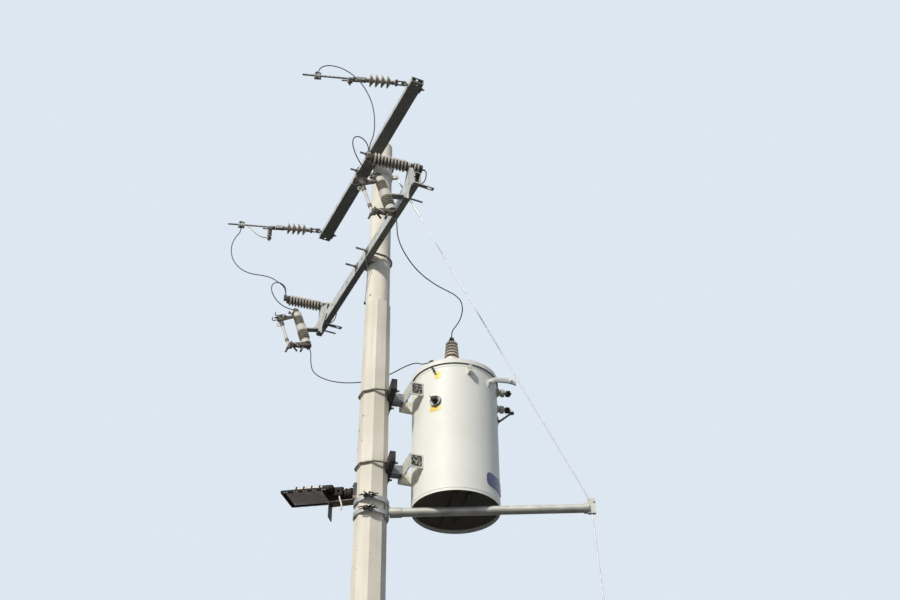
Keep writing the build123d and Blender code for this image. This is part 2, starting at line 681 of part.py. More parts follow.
# Cutouts: insulator, contacts, bracket and the fuse tube that drops open on its hinge
half_length = cutout_length / 2
rib_zone = half_length - cutout_cap_length - cutout_band_length / 2
rib_step = rib_zone / cutout_ribs
hinge_level = -(half_length + seat + cutout_plate + trunnion_width / 3)
ear_gap = trunnion_width / 2 + hinge_side_gap
for side, row_y in cutout_rows.items():
    cutout_at = Location((cutout_x, row_y, cutout_z), (0, -cutout_tilt, 0))
    with BuildPart() as insulator:
        with BuildSketch(on(cutout_at, Plane.XZ)):
            with BuildLine():
                outline = [(0, -half_length), (cutout_cap / 2, -half_length)]
                outline += [(cutout_cap / 2, -half_length + cutout_cap_length)]
                lower_start = -half_length + cutout_cap_length
                for group, group_start in (("lower", lower_start), ("upper", cutout_band_length / 2)):
                    rib_radius = cutout_rib[group] / 2
                    for rib in range(cutout_ribs):
                        rib_z = group_start + rib * rib_step
                        outline += [
                            (cutout_core / 2, rib_z),
                            (cutout_core / 2, rib_z + 0.2 * rib_step),
                            (rib_radius, rib_z + 0.45 * rib_step),
                            (rib_radius, rib_z + 0.6 * rib_step),
                            (cutout_core / 2, rib_z + 0.8 * rib_step),
                        ]
                    outline += [(cutout_core / 2, group_start + rib_zone)]
                    if group_start < 0:
                        outline += [(cutout_band / 2, group_start + rib_zone)]
                        outline += [(cutout_band / 2, cutout_band_length / 2)]
                outline += [(cutout_cap / 2, half_length - cutout_cap_length)]
                outline += [(cutout_cap / 2, half_length), (0, half_length)]
                Polyline(*outline, close=True)
            make_face()
        revolve(axis=Axis.Z.located(cutout_at))
    finish(insulator, f"{side}_cutout_insulator")

    # outward is the cutout's own -X
    fuse_top = fuse_tube_top + fuse_clearance
    plate_top = half_length + seat
    arm_top = half_length - contact_drop
    arm_start = -cutout_cap / 2 - seat - cutout_plate
    with BuildPart() as contact:
        with Locations(cutout_at * Location((0, 0, plate_top))):
            Cylinder(cutout_cap / 2 - 6, cutout_plate, align=(Align.CENTER, Align.CENTER, Align.MIN))
        with BuildSketch(on(cutout_at, Plane.XZ)):
            with BuildLine():
                Polyline(
                    (0, plate_top),
                    (0, plate_top + cutout_plate),
                    (arm_start, plate_top + cutout_plate),
                    (arm_start, arm_top),
                    (-cutout_reach - 26, fuse_top + 40),
                    (-cutout_reach - 26, fuse_top + 12),
                    (-cutout_reach - 6, fuse_top),
                    (-cutout_reach + 20, fuse_top),
                    (-cutout_reach + 20, fuse_top + 14),
                    (arm_start + cutout_plate, half_length - cutout_cap_length + 1),
                    (arm_start + cutout_plate, plate_top),
                    close=True,
                )
            make_face()
        extrude(amount=contact_width / 2, both=True)
        with Locations(Location((cutout_x + cutout_terminal_at[0], row_y, cutout_z + cutout_terminal_at[1]))):
            Box(*cutout_terminal, align=(Align.MIN, Align.CENTER, Align.MAX))
    finish(contact, f"{side}_cutout_top_contact")

    plate_bottom = -half_length - seat
    with BuildPart() as hinge:
        with BuildSketch(on(cutout_at, Plane.XZ)):
            with BuildLine():
                Polyline(
                    (34, plate_bottom),
                    (34, plate_bottom - cutout_plate),
                    (10, plate_bottom - cutout_plate - 26),
                    (-44, plate_bottom - cutout_plate - 22),
                    (-cutout_reach + fuse_tube_diameter + 2, plate_bottom - cutout_plate),
                    (-cutout_reach + fuse_tube_diameter + 2, plate_bottom),
                    close=True,
                )
            make_face()
        extrude(amount=ear_gap + hinge_ear, both=True)
        with BuildSketch(on(cutout_at, Plane.XZ)):
            with Locations((-cutout_reach, hinge_level)):
                Circle(hinge_pin + 6)
            with Locations((-cutout_reach, plate_bottom)):
                Rectangle(
                    fuse_tube_diameter + 8,
                    plate_bottom - hinge_level + hinge_pin + 2,
                    align=(Align.MIN, Align.MAX),
                )
        extrude(amount=ear_gap + hinge_ear, both=True)
        with BuildSketch(on(cutout_at, Plane.XZ)):
            with Locations((-cutout_reach + fuse_tube_diameter / 2 + fuse_clearance, hinge_level)):
                Rectangle(4 * fuse_tube_diameter, 6 * hinge_pin, align=(Align.MAX, Align.CENTER))
        extrude(amount=ear_gap, both=True, mode=Mode.SUBTRACT)
        with Locations(cutout_at * Location((-cutout_reach, 0, hinge_level), (90, 0, 0))):
            Cylinder(hinge_pin / 2, 2 * (ear_gap + hinge_ear) + 8)
        with Locations(cutout_at * Location((16, 0, plate_bottom - cutout_plate - 22))):
            Box(30, contact_width + 6, 24)
    finish(hinge, f"{side}_cutout_hinge")

    with BuildPart() as tube:
        with Locations(cutout_at * Location((-cutout_reach, 0, hinge_level), (90, 0, 0))):
            Cylinder(hinge_pin + 3, trunnion_width)
        with BuildSketch(on(cutout_at, Plane.XY.offset(hinge_level))):
            with Locations((-cutout_reach, 0)):
                Circle(fuse_tube_diameter / 2)
        extrude(amount=fuse_tube_top - hinge_level)
        # contact ring with the ring that a rod hooks to pull the tube open
        with BuildSketch(on(cutout_at, Plane.XY.offset(fuse_tube_top - 34))):
            with Locations((-cutout_reach, 0)):
                Circle(fuse_tube_diameter / 2 + 4)
        extrude(amount=26)
        with BuildSketch(on(cutout_at, Plane.XZ)):
            with Locations((-cutout_reach - fuse_tube_diameter / 2 - 18, fuse_tube_top - 22)):
                Circle(18)
                Circle(12, mode=Mode.SUBTRACT)
        extrude(amount=3, both=True)
        with Locations(cutout_at * Location((-cutout_reach, 0, hinge_level), (90, 0, 0))):
            Cylinder(hinge_pin / 2 + hinge_running_gap, trunnion_width + 2, mode=Mode.SUBTRACT)
    finish(tube, f"{side}_fuse_tube")

    # the bracket: a foot on the gusset, a bar out to the clamp round the middle band
    foot_x = gusset_x - seat - bracket_foot[0]
    ring_outer = cutout_band / 2 + seat + bracket_ring
    with BuildPart() as holder:
        with BuildSketch(Plane.XZ.offset(-row_y)):
            with BuildLine():
                Polyline(
                    (foot_x + bracket_foot[0], lower_mid_z - bracket_foot[2] / 2),
                    (foot_x + bracket_foot[0], lower_mid_z + bracket_foot[2] / 2),
                    (foot_x, lower_mid_z + bracket_foot[2] / 2),
                    (foot_x, lower_mid_z - bracket_foot[2] / 2 + bracket_bar),
                    (cutout_x + ring_outer - bracket_ring / 2, cutout_z + bracket_bar / 2),
                    (cutout_x + ring_outer - bracket_ring / 2, cutout_z - bracket_bar / 2),
                    close=True,
                )
            make_face()
        extrude(amount=bracket_foot[1] / 2, both=True)
        with Locations(cutout_at):
            Cylinder(ring_outer, cutout_band_length - 14)
            Cylinder(cutout_band / 2 + seat, cutout_length, mode=Mode.SUBTRACT)
        # the bolt through the foot, the gusset and the arm
        with BuildSketch(Plane.YZ.offset(foot_x - nut_thick)):
            with Locations((row_y + bolt_offset, lower_mid_z)):
                RegularPolygon(nut_across / 2, 6, major_radius=False)
        extrude(amount=nut_thick)
        with BuildSketch(Plane.YZ.offset(foot_x)):
            with Locations((row_y + bolt_offset, lower_mid_z)):
                Circle(bolt_diameter / 2)
        extrude(amount=lower_inner_x + bolt_reach - foot_x)
        with BuildSketch(Plane.YZ.offset(lower_inner_x + seat)):
            with Locations((row_y + bolt_offset, lower_mid_z)):
                RegularPolygon(nut_across / 2 + 2, 6, major_radius=False)
        extrude(amount=nut_thick)
    finish(holder, f"{side}_cutout_bracket")

# Transformer tank with its cover, rim band and skids
tank_at = Location(
    (tank_distance * cos(radians(tank_turn)), tank_distance * sin(radians(tank_turn)), 0),
    (0, 0, tank_turn),
)
tank_radius = tank_diameter / 2
with BuildPart() as tank:
    with BuildSketch(on(tank_at, Plane.XY.offset(tank_bottom))):
        Circle(tank_radius)
    extrude(amount=tank_rim - tank_bottom)
    with BuildSketch(on(tank_at, Plane.XY.offset(tank_bottom))):
        Circle(tank_radius - tank_skirt)
    extrude(amount=tank_recess, mode=Mode.SUBTRACT)
finish(tank, "tank")

with BuildPart() as tank_skids:
    with BuildSketch(on(tank_at, Plane.XY.offset(tank_bottom + tank_recess - seat - skid_height))):
        with Locations((-skid_spacing / 2, 0), (skid_spacing / 2, 0)):
            Rectangle(skid_width, skid_length)
    extrude(amount=skid_height)
finish(tank_skids, "tank_skids")

dome_radius = (tank_radius**2 + cover_rise**2) / (2 * cover_rise)
cover_seat = tank_rim + seat
boss_top = cover_seat + cover_flange + cover_rise
with BuildPart() as tank_cover:
    with BuildSketch(on(tank_at, Plane.XZ)):
        with BuildLine():
            Line((0, cover_seat), (tank_radius, cover_seat))
            Line((tank_radius, cover_seat), (tank_radius, cover_seat + cover_flange))
            Line((0, boss_top), (0, cover_seat))
            RadiusArc((0, boss_top), (tank_radius, cover_seat + cover_flange), dome_radius)
        make_face()
    revolve(axis=Axis.Z.located(tank_at))
    for turn, distance, _ in hv_spots.values():
        with BuildSketch(on(tank_at, Plane.XY.offset(cover_seat))):
            with Locations((distance * cos(radians(turn)), distance * sin(radians(turn)))):
                Circle(hv_boss)
        extrude(amount=boss_top - cover_seat)
finish(tank_cover, "tank_cover")

with BuildPart() as cover_band:
    with BuildSketch(on(tank_at, Plane.XY.offset(tank_rim - band_height + cover_flange))):
        Circle(tank_radius + seat + band_thick)
        Circle(tank_radius + seat, mode=Mode.SUBTRACT)
    extrude(amount=band_height)
finish(cover_band, "cover_band")

# High voltage bushings
for place_name, (turn, distance, terminal_turn) in hv_spots.items():
    bushing_at = tank_at * Location(
        (distance * cos(radians(turn)), distance * sin(radians(turn)), boss_top + seat)
    )
    with BuildPart() as bushing:
        with BuildSketch(on(bushing_at, Plane.XZ)):
            with BuildLine():
                outline = [(0, 0), (hv_shed / 2, 0), (hv_shed / 2, 12), (hv_core / 2 + 8, 20)]
                hv_step = (hv_height - 46) / hv_sheds
                for shed in range(hv_sheds):
                    shed_z = 24 + shed * hv_step
                    shrink = 4 * shed
                    outline += [
                        (hv_core / 2 - shed, shed_z),
                        (hv_core / 2 - shed, shed_z + 0.2 * hv_step),
                        ((hv_shed - shrink) / 2, shed_z + 0.42 * hv_step),
                        ((hv_shed - shrink) / 2, shed_z + 0.58 * hv_step),
                        (hv_core / 2 - shed, shed_z + 0.9 * hv_step),
                    ]
                outline += [(18, hv_height - 20), (18, hv_height), (0, hv_height)]
                Polyline(*outline, close=True)
            make_face()
        revolve(axis=Axis.Z.located(bushing_at))
        with BuildSketch(on(bushing_at, Plane.XY.offset(hv_height))):
            Circle(hv_stud / 2)
        extrude(amount=hv_stud_length)
        with BuildSketch(on(bushing_at, Plane.XY.offset(hv_height + hv_stud_length / 3))):
            Rectangle(*hv_terminal[:2], rotation=terminal_turn)
        extrude(amount=hv_terminal[2])
    finish(bushing, f"{place_name}_hv_bushing")

# Low voltage bushings in a row on the outer side
with BuildPart() as lv_bushings:
    for across, rise in lv_spots.values():
        wall_x = sqrt(tank_radius**2 - across**2)
        spot_at = tank_at * Location((wall_x, across, tank_bottom + rise))
        with BuildSketch(on(spot_at, Plane.XZ)):
            with BuildLine():
                Polyline(
                    (-40, 0),
                    (-40, lv_diameter / 2),
                    (16, lv_diameter / 2),
                    (22, lv_waist / 2),
                    (30, lv_waist / 2),
                    (36, lv_diameter / 2),
                    (44, lv_diameter / 2),
                    (lv_length, lv_waist / 2 - 4),
                    (lv_length, 0),
                    close=True,
                )
            make_face()
        revolve(axis=Axis.X.located(spot_at))
        with Locations(spot_at * Location((lv_length, 0, 0))):
            Box(*lv_spade, align=(Align.MIN, Align.CENTER, Align.CENTER))
    with BuildSketch(on(tank_at, Plane.XY.offset(tank_bottom))):
        Circle(tank_radius + seat)
    extrude(amount=tank_rim - tank_bottom, mode=Mode.SUBTRACT)
finish(lv_bushings, "lv_bushings")

# Lifting lugs on two sides and the bare badge plate
lifting_z = tank_bottom + lifting_level
with BuildPart() as lifting_lugs:
    for turn in lifting_turns:
        lug_at = tank_at * Location((0, 0, 0), (0, 0, turn))
        with BuildSketch(on(lug_at, Plane.XZ)):
            with Locations((tank_radius - 20, lifting_z)):
                Rectangle(20 + lifting_lug[0], lifting_lug[2], align=(Align.MIN, Align.CENTER))
            with Locations((tank_radius + lifting_lug[0] / 2 + 4, lifting_z + 6)):
                Circle(lifting_hole / 2, mode=Mode.SUBTRACT)
        extrude(amount=lifting_lug[1] / 2, both=True)
    with BuildSketch(on(tank_at, Plane.XY.offset(tank_bottom))):
        Circle(tank_radius + seat)
    extrude(amount=tank_rim - tank_bottom, mode=Mode.SUBTRACT)
finish(lifting_lugs, "lifting_lugs")

with BuildPart() as badge_plate:
    badge_at = tank_at * Location((0, 0, 0), (0, 0, badge_turn[0] - badge_turn[1] / 2))
    with BuildSketch(on(badge_at, Plane.XZ)):
        with Locations((tank_radius + seat, tank_bottom + badge_level)):
            Rectangle(badge_thick, badge_height, align=(Align.MIN, Align.CENTER))
    revolve(axis=Axis.Z.located(badge_at), revolution_arc=badge_turn[1])
finish(badge_plate, "badge_plate")

# Hangers: lug on the tank, spacer, crossbar on the pole, bent rod round the pole
to_tank = Location((0, 0, 0), (0, 0, tank_turn))
lug_at = tank_at * Location((0, 0, 0), (0, 0, lug_turn))
lug_face = tank_distance - lug_front / cos(radians(lug_turn))
lug_nut_x = lug_face + lug_plate + nut_across * sin(radians(lug_turn))
for level_name, rise in hanger_rows.items():
    level = tank_bottom + rise
    with BuildPart() as tank_lug:
        with BuildSketch(on(lug_at, Plane.XY.offset(level - lug_height / 2))):
            with Locations((-lug_front, 0)):
                Rectangle(lug_front, lug_width, align=(Align.MIN, Align.CENTER))
            with Locations((-lug_front + lug_plate, 0)):
                Rectangle(
                    lug_front,
                    lug_width - 2 * lug_plate,
                    align=(Align.MIN, Align.CENTER),
                    mode=Mode.SUBTRACT,
                )
            Circle(tank_radius + seat, mode=Mode.SUBTRACT)
        extrude(amount=lug_height)
        with Locations(to_tank * Location((lug_face, 0, level))):
            Box(6 * lug_plate, lug_slot, lug_slot, mode=Mode.SUBTRACT)
    finish(tank_lug, f"{level_name}_tank_lug")

    with BuildPart() as spacer:
        with Locations(to_tank * Location((bar_start + bar_depth + seat, 0, level))):
            Box(lug_face, spacer_width, spacer_height, align=(Align.MIN, Align.CENTER, Align.CENTER))
        with Locations(lug_at * Location((-lug_front - seat, 0, level))):
            Box(
                2 * lug_front,
                2 * lug_width,
                2 * spacer_height,
                align=(Align.MIN, Align.CENTER, Align.CENTER),
                mode=Mode.SUBTRACT,
            )
        with Locations(to_tank * Location((lug_face, 0, level), (0, 90, 0))):
            Cylinder(hanger_bolt / 2 + seat, 2 * lug_face, mode=Mode.SUBTRACT)
    finish(spacer, f"{level_name}_spacer")

    # the rod's path, tangent to the octagon's corners on the side away from the tank
    rod_reach = octagon_corner(level - strap_rod) + (seat + strap_lift + strap_rod / 2) / cos(
        radians(octagon_half_step)
    )
    corner_points = [
        (rod_reach * cos(radians(turn - tank_turn)), rod_reach * sin(radians(turn - tank_turn)))
        for turn in strap_corners
    ]
    rod_end = bar_start + bar_depth + strap_stick_out
    leg_spots = [(corner_points[0][1], level), (corner_points[-1][1], level)]
    with BuildPart() as hanger_bar:
        with Locations(to_tank * Location((bar_start, 0, level))):
            Box(bar_depth, bar_length, bar_height, align=(Align.MIN, Align.CENTER, Align.CENTER))
        with BuildSketch(Plane.XY.offset(level - bar_height)):
            RegularPolygon(
                pole_radius(level - bar_height) + seat,
                8,
                major_radius=False,
                rotation=octagon_half_step,
            )
        extrude(amount=2 * bar_height, mode=Mode.SUBTRACT)
        with BuildSketch(on(to_tank, Plane.YZ)):
            with Locations(*leg_spots):
                Circle(strap_rod / 2 + bolt_clearance)
        extrude(amount=2 * bar_start, mode=Mode.SUBTRACT)
        # the middle bolt draws bar, spacer and lug together
        with BuildSketch(on(to_tank, Plane.YZ.offset(bar_start + bar_depth / 2))):
            with Locations((0, level)):
                Circle(hanger_bolt / 2)
        extrude(amount=lug_nut_x + 2 * nut_thick - bar_start - bar_depth / 2)
        with BuildSketch(on(to_tank, Plane.YZ.offset(lug_nut_x))):
            with Locations((0, level)):
                RegularPolygon(nut_across / 2 + 2, 6, major_radius=False)
        extrude(amount=nut_thick)
    finish(hanger_bar, f"{level_name}_hanger_bar")

    with BuildPart() as pole_strap:
        with BuildLine(on(to_tank, Plane.XY.offset(level))):
            FilletPolyline(
                (rod_end, leg_spots[0][0]),
                *corner_points,
                (rod_end, leg_spots[1][0]),
                radius=strap_bend,
            )
        with BuildSketch(on(to_tank, Plane(origin=(rod_end, leg_spots[0][0], level), z_dir=(-1, 0, 0)))):
            Circle(strap_rod / 2)
        sweep()
        with BuildSketch(on(to_tank, Plane.YZ.offset(bar_start + bar_depth + seat))):
            with Locations(*leg_spots):
                RegularPolygon(nut_across / 2, 6, major_radius=False)
        extrude(amount=nut_thick)
    finish(pole_strap, f"{level_name}_pole_strap")

# Strut that holds the guy away from the pole
strut_at = Location((0, 0, strut_z), (0, 0, strut_turn))
foot_bore = octagon_corner(strut_z + foot_middle - foot_plate[2] / 2) + seat
band_shift = (foot_plate[0] + seat) / 2
band_bore = foot_bore + band_shift
neck_end = band_shift + band_bore + strut_band_thick + 4
pipe_start = neck_end + foot_plate[0] + seat
with BuildPart() as strut_foot:
    with BuildSketch(on(strut_at, Plane.XY.offset(foot_middle - foot_plate[2] / 2))):
        Circle(foot_bore + foot_plate[0])
        Circle(foot_bore, mode=Mode.SUBTRACT)
        Rectangle(2 * foot_bore, foot_plate[1], align=(Align.MIN, Align.CENTER), mode=Mode.INTERSECT)
    extrude(amount=foot_plate[2])
    with Locations(strut_at * Location((foot_bore + foot_plate[0] / 2, 0, foot_middle))):
        Box(
            neck_end - foot_bore,
            *foot_neck,
            align=(Align.MIN, Align.CENTER, Align.CENTER),
        )
    with BuildSketch(on(strut_at, Plane.YZ.offset(neck_end))):
        Circle(sleeve_diameter / 2)
    extrude(amount=foot_plate[0] + sleeve_length)
    with BuildSketch(on(strut_at, Plane.YZ.offset(neck_end + foot_plate[0]))):
        Circle(strut_diameter / 2 + seat)
    extrude(amount=sleeve_length, mode=Mode.SUBTRACT)
finish(strut_foot, "strut_foot")

with BuildPart() as strut_pipe:
    with BuildSketch(on(strut_at, Plane.YZ.offset(pipe_start))):
        Circle(strut_diameter / 2)
        Circle(strut_bore / 2, mode=Mode.SUBTRACT)
    extrude(amount=strut_reach - pipe_start)
finish(strut_pipe, "strut_pipe")

# Two round bands over the foot and round the pole, each drawn together at the front
joint_at = Location((0, 0, strut_z + foot_middle), (0, 0, band_joint_turn))
with BuildPart() as strut_bands:
    for band_rise in (-band_spacing / 2, band_spacing / 2):
        with BuildSketch(on(strut_at, Plane.XY.offset(foot_middle + band_rise - strut_band_height / 2))):
            with Locations((band_shift, 0)):
                Circle(band_bore + strut_band_thick)
                Circle(band_bore, mode=Mode.SUBTRACT)
        extrude(amount=strut_band_height)
        with Locations(joint_at * Location((band_bore, 0, band_rise))):
            Box(*band_joint, align=(Align.MIN, Align.CENTER, Align.CENTER))
finish(strut_bands, "strut_bands")

# Fitting at the strut's end that holds the bend of the guy
bend_z = guy_bend[1] - strut_z
with BuildPart() as strut_end:
    with BuildSketch(on(strut_at, Plane.YZ.offset(strut_reach + seat))):
        Circle(strut_diameter / 2 + 6)
    extrude(amount=end_cap)
    with BuildSketch(on(strut_at, Plane.YZ.offset(strut_reach - sleeve_length / 3))):
        Circle(strut_diameter / 2 + 6)
        Circle(strut_diameter / 2 + seat, mode=Mode.SUBTRACT)
    extrude(amount=sleeve_length / 3 + seat)
    for cheek_side in (-1, 1):
        cheek_y = cheek_side * (cheek_slot + end_cheek[1]) / 2
        with Locations(strut_at * Location((strut_reach + seat, cheek_y, bend_z - end_cheek[2] / 2 + 14))):
            Box(*end_cheek, align=(Align.MIN, Align.CENTER, Align.CENTER))
    with Locations(strut_at * Location((strut_reach + seat, 0, bend_z - 22))):
        Box(
            guy_bend[0] - guy_diameter / 2 - seat - strut_reach - seat - 1.2,
            cheek_slot + end_cheek[1],
            16,
            align=(Align.MIN, Align.CENTER, Align.CENTER),
        )
    with Locations(strut_at * Location((guy_bend[0] + 22, 0, bend_z - 10), (90, 0, 0))):
        Cylinder(band_bolt / 2, cheek_slot + 2 * end_cheek[1] + 18)
finish(strut_end, "strut_end_fitting")

# Guy: from the band near the pole's top over the strut's end to the anchor's eye
guy_at = Location((0, 0, 0), (0, 0, strut_turn))
upper_run = (guy_bend[0] - guy_top[0], guy_bend[1] - guy_top[1])
lower_run = (guy_foot[0] - guy_bend[0], guy_foot[1] - guy_bend[1])
lower_grip = hypot(*lower_run) - guy_grip_gap - guy_grip_length
for piece, start, run, grip_from, eye in (
    ("guy_upper", guy_top, upper_run, guy_grip_gap, guy_top),
    ("guy_lower", guy_bend, lower_run, lower_grip, guy_foot),
):
    with BuildPart() as guy:
        run_plane = Plane(origin=(start[0], 0, start[1]), z_dir=(run[0], 0, run[1]))
        with BuildSketch(on(guy_at, run_plane)):
            Circle(guy_diameter / 2)
        extrude(amount=hypot(*run))
        with BuildSketch(on(guy_at, run_plane.offset(grip_from))):
            Circle(guy_grip_diameter / 2)
        extrude(amount=guy_grip_length)
        with BuildSketch(on(guy_at, Plane.XZ)):
            with Locations(eye):
                Circle(guy_eye_hole / 2 + guy_eye_ring)
        extrude(amount=guy_eye_ring / 2, both=True)
        with BuildSketch(on(guy_at, Plane.XZ)):
            with Locations(eye):
                Circle(guy_eye_hole / 2)
        extrude(amount=guy_eye_ring, both=True, mode=Mode.SUBTRACT)
        # the lower piece has the ball of the bend and the upper one ends on it
        with Locations(guy_at * Location((guy_bend[0], 0, guy_bend[1]))):
            if start == guy_bend:
                Sphere(guy_diameter / 2)
            else:
                Sphere(guy_diameter / 2 + seat, mode=Mode.SUBTRACT)
    finish(guy, piece)

guy_band_radius = pole_radius(guy_top[1] - guy_band_height) + seat
lug_side_y = guy_eye_ring / 2 + 1 + guy_band_thick / 2
with BuildPart() as guy_band:
    with BuildSketch(Plane.XY.offset(guy_top[1] - guy_band_height / 2)):
        Circle(guy_band_radius + guy_band_thick)
    extrude(amount=guy_band_height)
    for lug_side in (-1, 1):
        with Locations(guy_at * Location((guy_band_radius, lug_side * lug_side_y, guy_top[1]))):
            Box(
                guy_top[0] + guy_lug / 2 - guy_band_radius,
                guy_band_thick,
                guy_lug,
                align=(Align.MIN, Align.CENTER, Align.CENTER),
            )
    # ears of the band's joint on the other side
    with Locations(guy_at * Location((-guy_band_radius, 0, guy_top[1]))):
        Box(2 * guy_lug, 2 * guy_band_thick + 6, guy_band_height)
        Box(3 * guy_lug, 6, guy_band_height, mode=Mode.SUBTRACT)
    with Locations(guy_at * Location((-guy_band_radius - guy_lug / 2 - 3, 0, guy_top[1]), (90, 0, 0))):
        Cylinder(guy_pin / 2, 42)
    with BuildSketch(Plane.XY.offset(guy_top[1] - guy_band_height)):
        Circle(guy_band_radius)
    extrude(amount=2 * guy_band_height, mode=Mode.SUBTRACT)
    with Locations(guy_at * Location((guy_top[0], 0, guy_top[1]), (90, 0, 0))):
        Cylinder(guy_pin / 2, 2 * lug_side_y + 16)
finish(guy_band, "guy_band")

# Anchor rod: its eye hooks through the guy's lower eye
eye_z = guy_foot[1] - (anchor_eye_hole + anchor_eye_bar) / 2
with BuildPart() as anchor_rod:
    with BuildSketch(on(guy_at * Location((guy_foot[0], 0, eye_z)), Plane.YZ)):
        Circle(anchor_eye_hole / 2 + anchor_eye_bar)
        Circle(anchor_eye_hole / 2, mode=Mode.SUBTRACT)
    extrude(amount=anchor_eye_bar / 2, both=True)
    with BuildSketch(on(guy_at * Location((guy_foot[0], 0, 0)), Plane.XY)):
        Circle(anchor_rod_diameter / 2)
    extrude(amount=eye_z - anchor_eye_hole / 2 - 2)
finish(anchor_rod, "anchor_rod")

# Street lamp on a short arm on the other side of the pole
lamp_at = Location((0, 0, lamp_z), (0, -lamp_tilt, lamp_turn))
lamp_arm_at = Location((0, 0, lamp_arm_z), (0, 0, lamp_turn))
lamp_face = octagon_reach(lamp_arm_z, lamp_turn) + lamp_plate[0]
arm_end = lamp_start + lamp_socket[1]
with BuildPart() as lamp_arm:
    with BuildSketch(on(lamp_arm_at, Plane.XY.offset(-lamp_plate[2] / 2))):
        with Locations((lamp_face - 3 * lamp_plate[0], 0)):
            Rectangle(3 * lamp_plate[0], lamp_plate[1], align=(Align.MIN, Align.CENTER))
    extrude(amount=lamp_plate[2])
    with BuildSketch(on(lamp_arm_at, Plane.XY.offset(-lamp_plate[2] / 2))):
        with Locations((lamp_face - lamp_plate[0], 0)):
            Rectangle(lamp_tray[0] + lamp_plate[0] - lamp_face, lamp_tray[1], align=(Align.MIN, Align.CENTER))
    extrude(amount=lamp_tray[2])
    with Locations(lamp_arm_at * Location((lamp_tray[0], 0, -lamp_plate[2] / 2))):
        Box(lamp_tab[1], lamp_tray[1], lamp_tab[0], align=(Align.MAX, Align.CENTER, Align.MAX))
    with BuildSketch(Plane.XY.offset(lamp_z - 2 * lamp_plate[2])):
        RegularPolygon(
            pole_radius(lamp_arm_z - lamp_plate[2] / 2) + seat,
            8,
            major_radius=False,
            rotation=octagon_half_step,
        )
    extrude(amount=4 * lamp_plate[2], mode=Mode.SUBTRACT)
    with BuildSketch(on(lamp_arm_at, Plane.YZ.offset(lamp_face - lamp_plate[0] / 2))):
        Rectangle(*lamp_arm_section)
    extrude(amount=arm_end - lamp_face + lamp_plate[0] / 2)
    for bolt_y in (-lamp_plate[1] / 2 + lamp_bolt * 0.6, lamp_plate[1] / 2 - lamp_bolt * 0.6):
        with BuildSketch(on(lamp_arm_at, Plane.YZ.offset(lamp_face - 1))):
            with Locations((bolt_y, lamp_plate[2] / 3), (bolt_y, -lamp_plate[2] / 3)):
                RegularPolygon(lamp_bolt / 2, 6)
        extrude(amount=lamp_bolt / 2)
finish(lamp_arm, "lamp_arm")

with BuildPart() as lamp_housing:
    with BuildSketch(on(lamp_at, Plane.XY.offset(-lamp_thick / 2))):
        with Locations((lamp_start, 0)):
            RectangleRounded(lamp_length, lamp_width, lamp_round, align=(Align.MIN, Align.CENTER))
    extrude(amount=lamp_thick)
    with BuildSketch(on(lamp_at, Plane.XY.offset(-lamp_thick / 2 - 1))):
        with Locations((lamp_start + lamp_length - lens_margin, 0)):
            Rectangle(
                lamp_length - 3 * lens_margin - 40,
                lamp_width - 2 * lens_margin,
                align=(Align.MAX, Align.CENTER),
            )
    extrude(amount=13, mode=Mode.SUBTRACT)
    with BuildSketch(on(lamp_arm_at, Plane.YZ.offset(lamp_start - lamp_socket[0]))):
        Rectangle(lamp_arm_section[0] + 2 * lamp_socket[2], lamp_arm_section[1] + 2 * lamp_socket[2])
    extrude(amount=2 * lamp_socket[0] + lamp_socket[2])
    with BuildSketch(on(lamp_arm_at, Plane.YZ.offset(lamp_start - lamp_socket[0] - 1))):
        Rectangle(lamp_arm_section[0] + 2 * seat, lamp_arm_section[1] + 2 * seat)
    extrude(amount=lamp_socket[0] + lamp_socket[1] + 1 + seat, mode=Mode.SUBTRACT)
    for fin in range(lamp_fins):
        fin_y = (fin - (lamp_fins - 1) / 2) * (lamp_width - 50) / (lamp_fins - 1)
        with Locations(lamp_at * Location((lamp_start + lamp_length * 0.6, fin_y, lamp_thick / 2))):
            Box(*lamp_fin, align=(Align.CENTER, Align.CENTER, Align.MIN))
finish(lamp_housing, "lamp_housing")

with BuildPart() as lamp_lens:
    with BuildSketch(on(lamp_at, Plane.XY.offset(-lamp_thick / 2 - lens_proud))):
        with Locations((lamp_start + lamp_length - lens_margin - seat, 0)):
            Rectangle(
                lamp_length - 3 * lens_margin - 40 - 2 * seat,
                lamp_width - 2 * lens_margin - 2 * seat,
                align=(Align.MAX, Align.CENTER),
            )
    extrude(amount=11 + lens_proud)
finish(lamp_lens, "lamp_lens")

# Jumper wires: straight runs joined by tangent arcs, swept with the wire's section
for name, points in jumpers.items():
    radii = corner_radii(points)
    with BuildPart() as wire:
        with BuildLine() as route:
            FilletPolyline(*points, radius=radii)
        with BuildSketch(Plane(origin=points[0], z_dir=Vector(points[1]) - Vector(points[0]))):
            Circle(wire_diameter / 2)
        sweep()
    length = sum(edge.length for edge in route.edges())
    swept = pi * wire_diameter**2 / 4 * length
    print(name, "length", round(length), "volume share", round(wire.part.volume / swept, 4))
    print("  radii", [round(radius) for radius in radii])
    finish(wire, name)
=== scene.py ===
from math import cos, pi, radians, sin
import bmesh
import bpy
from mathutils import Matrix, Vector


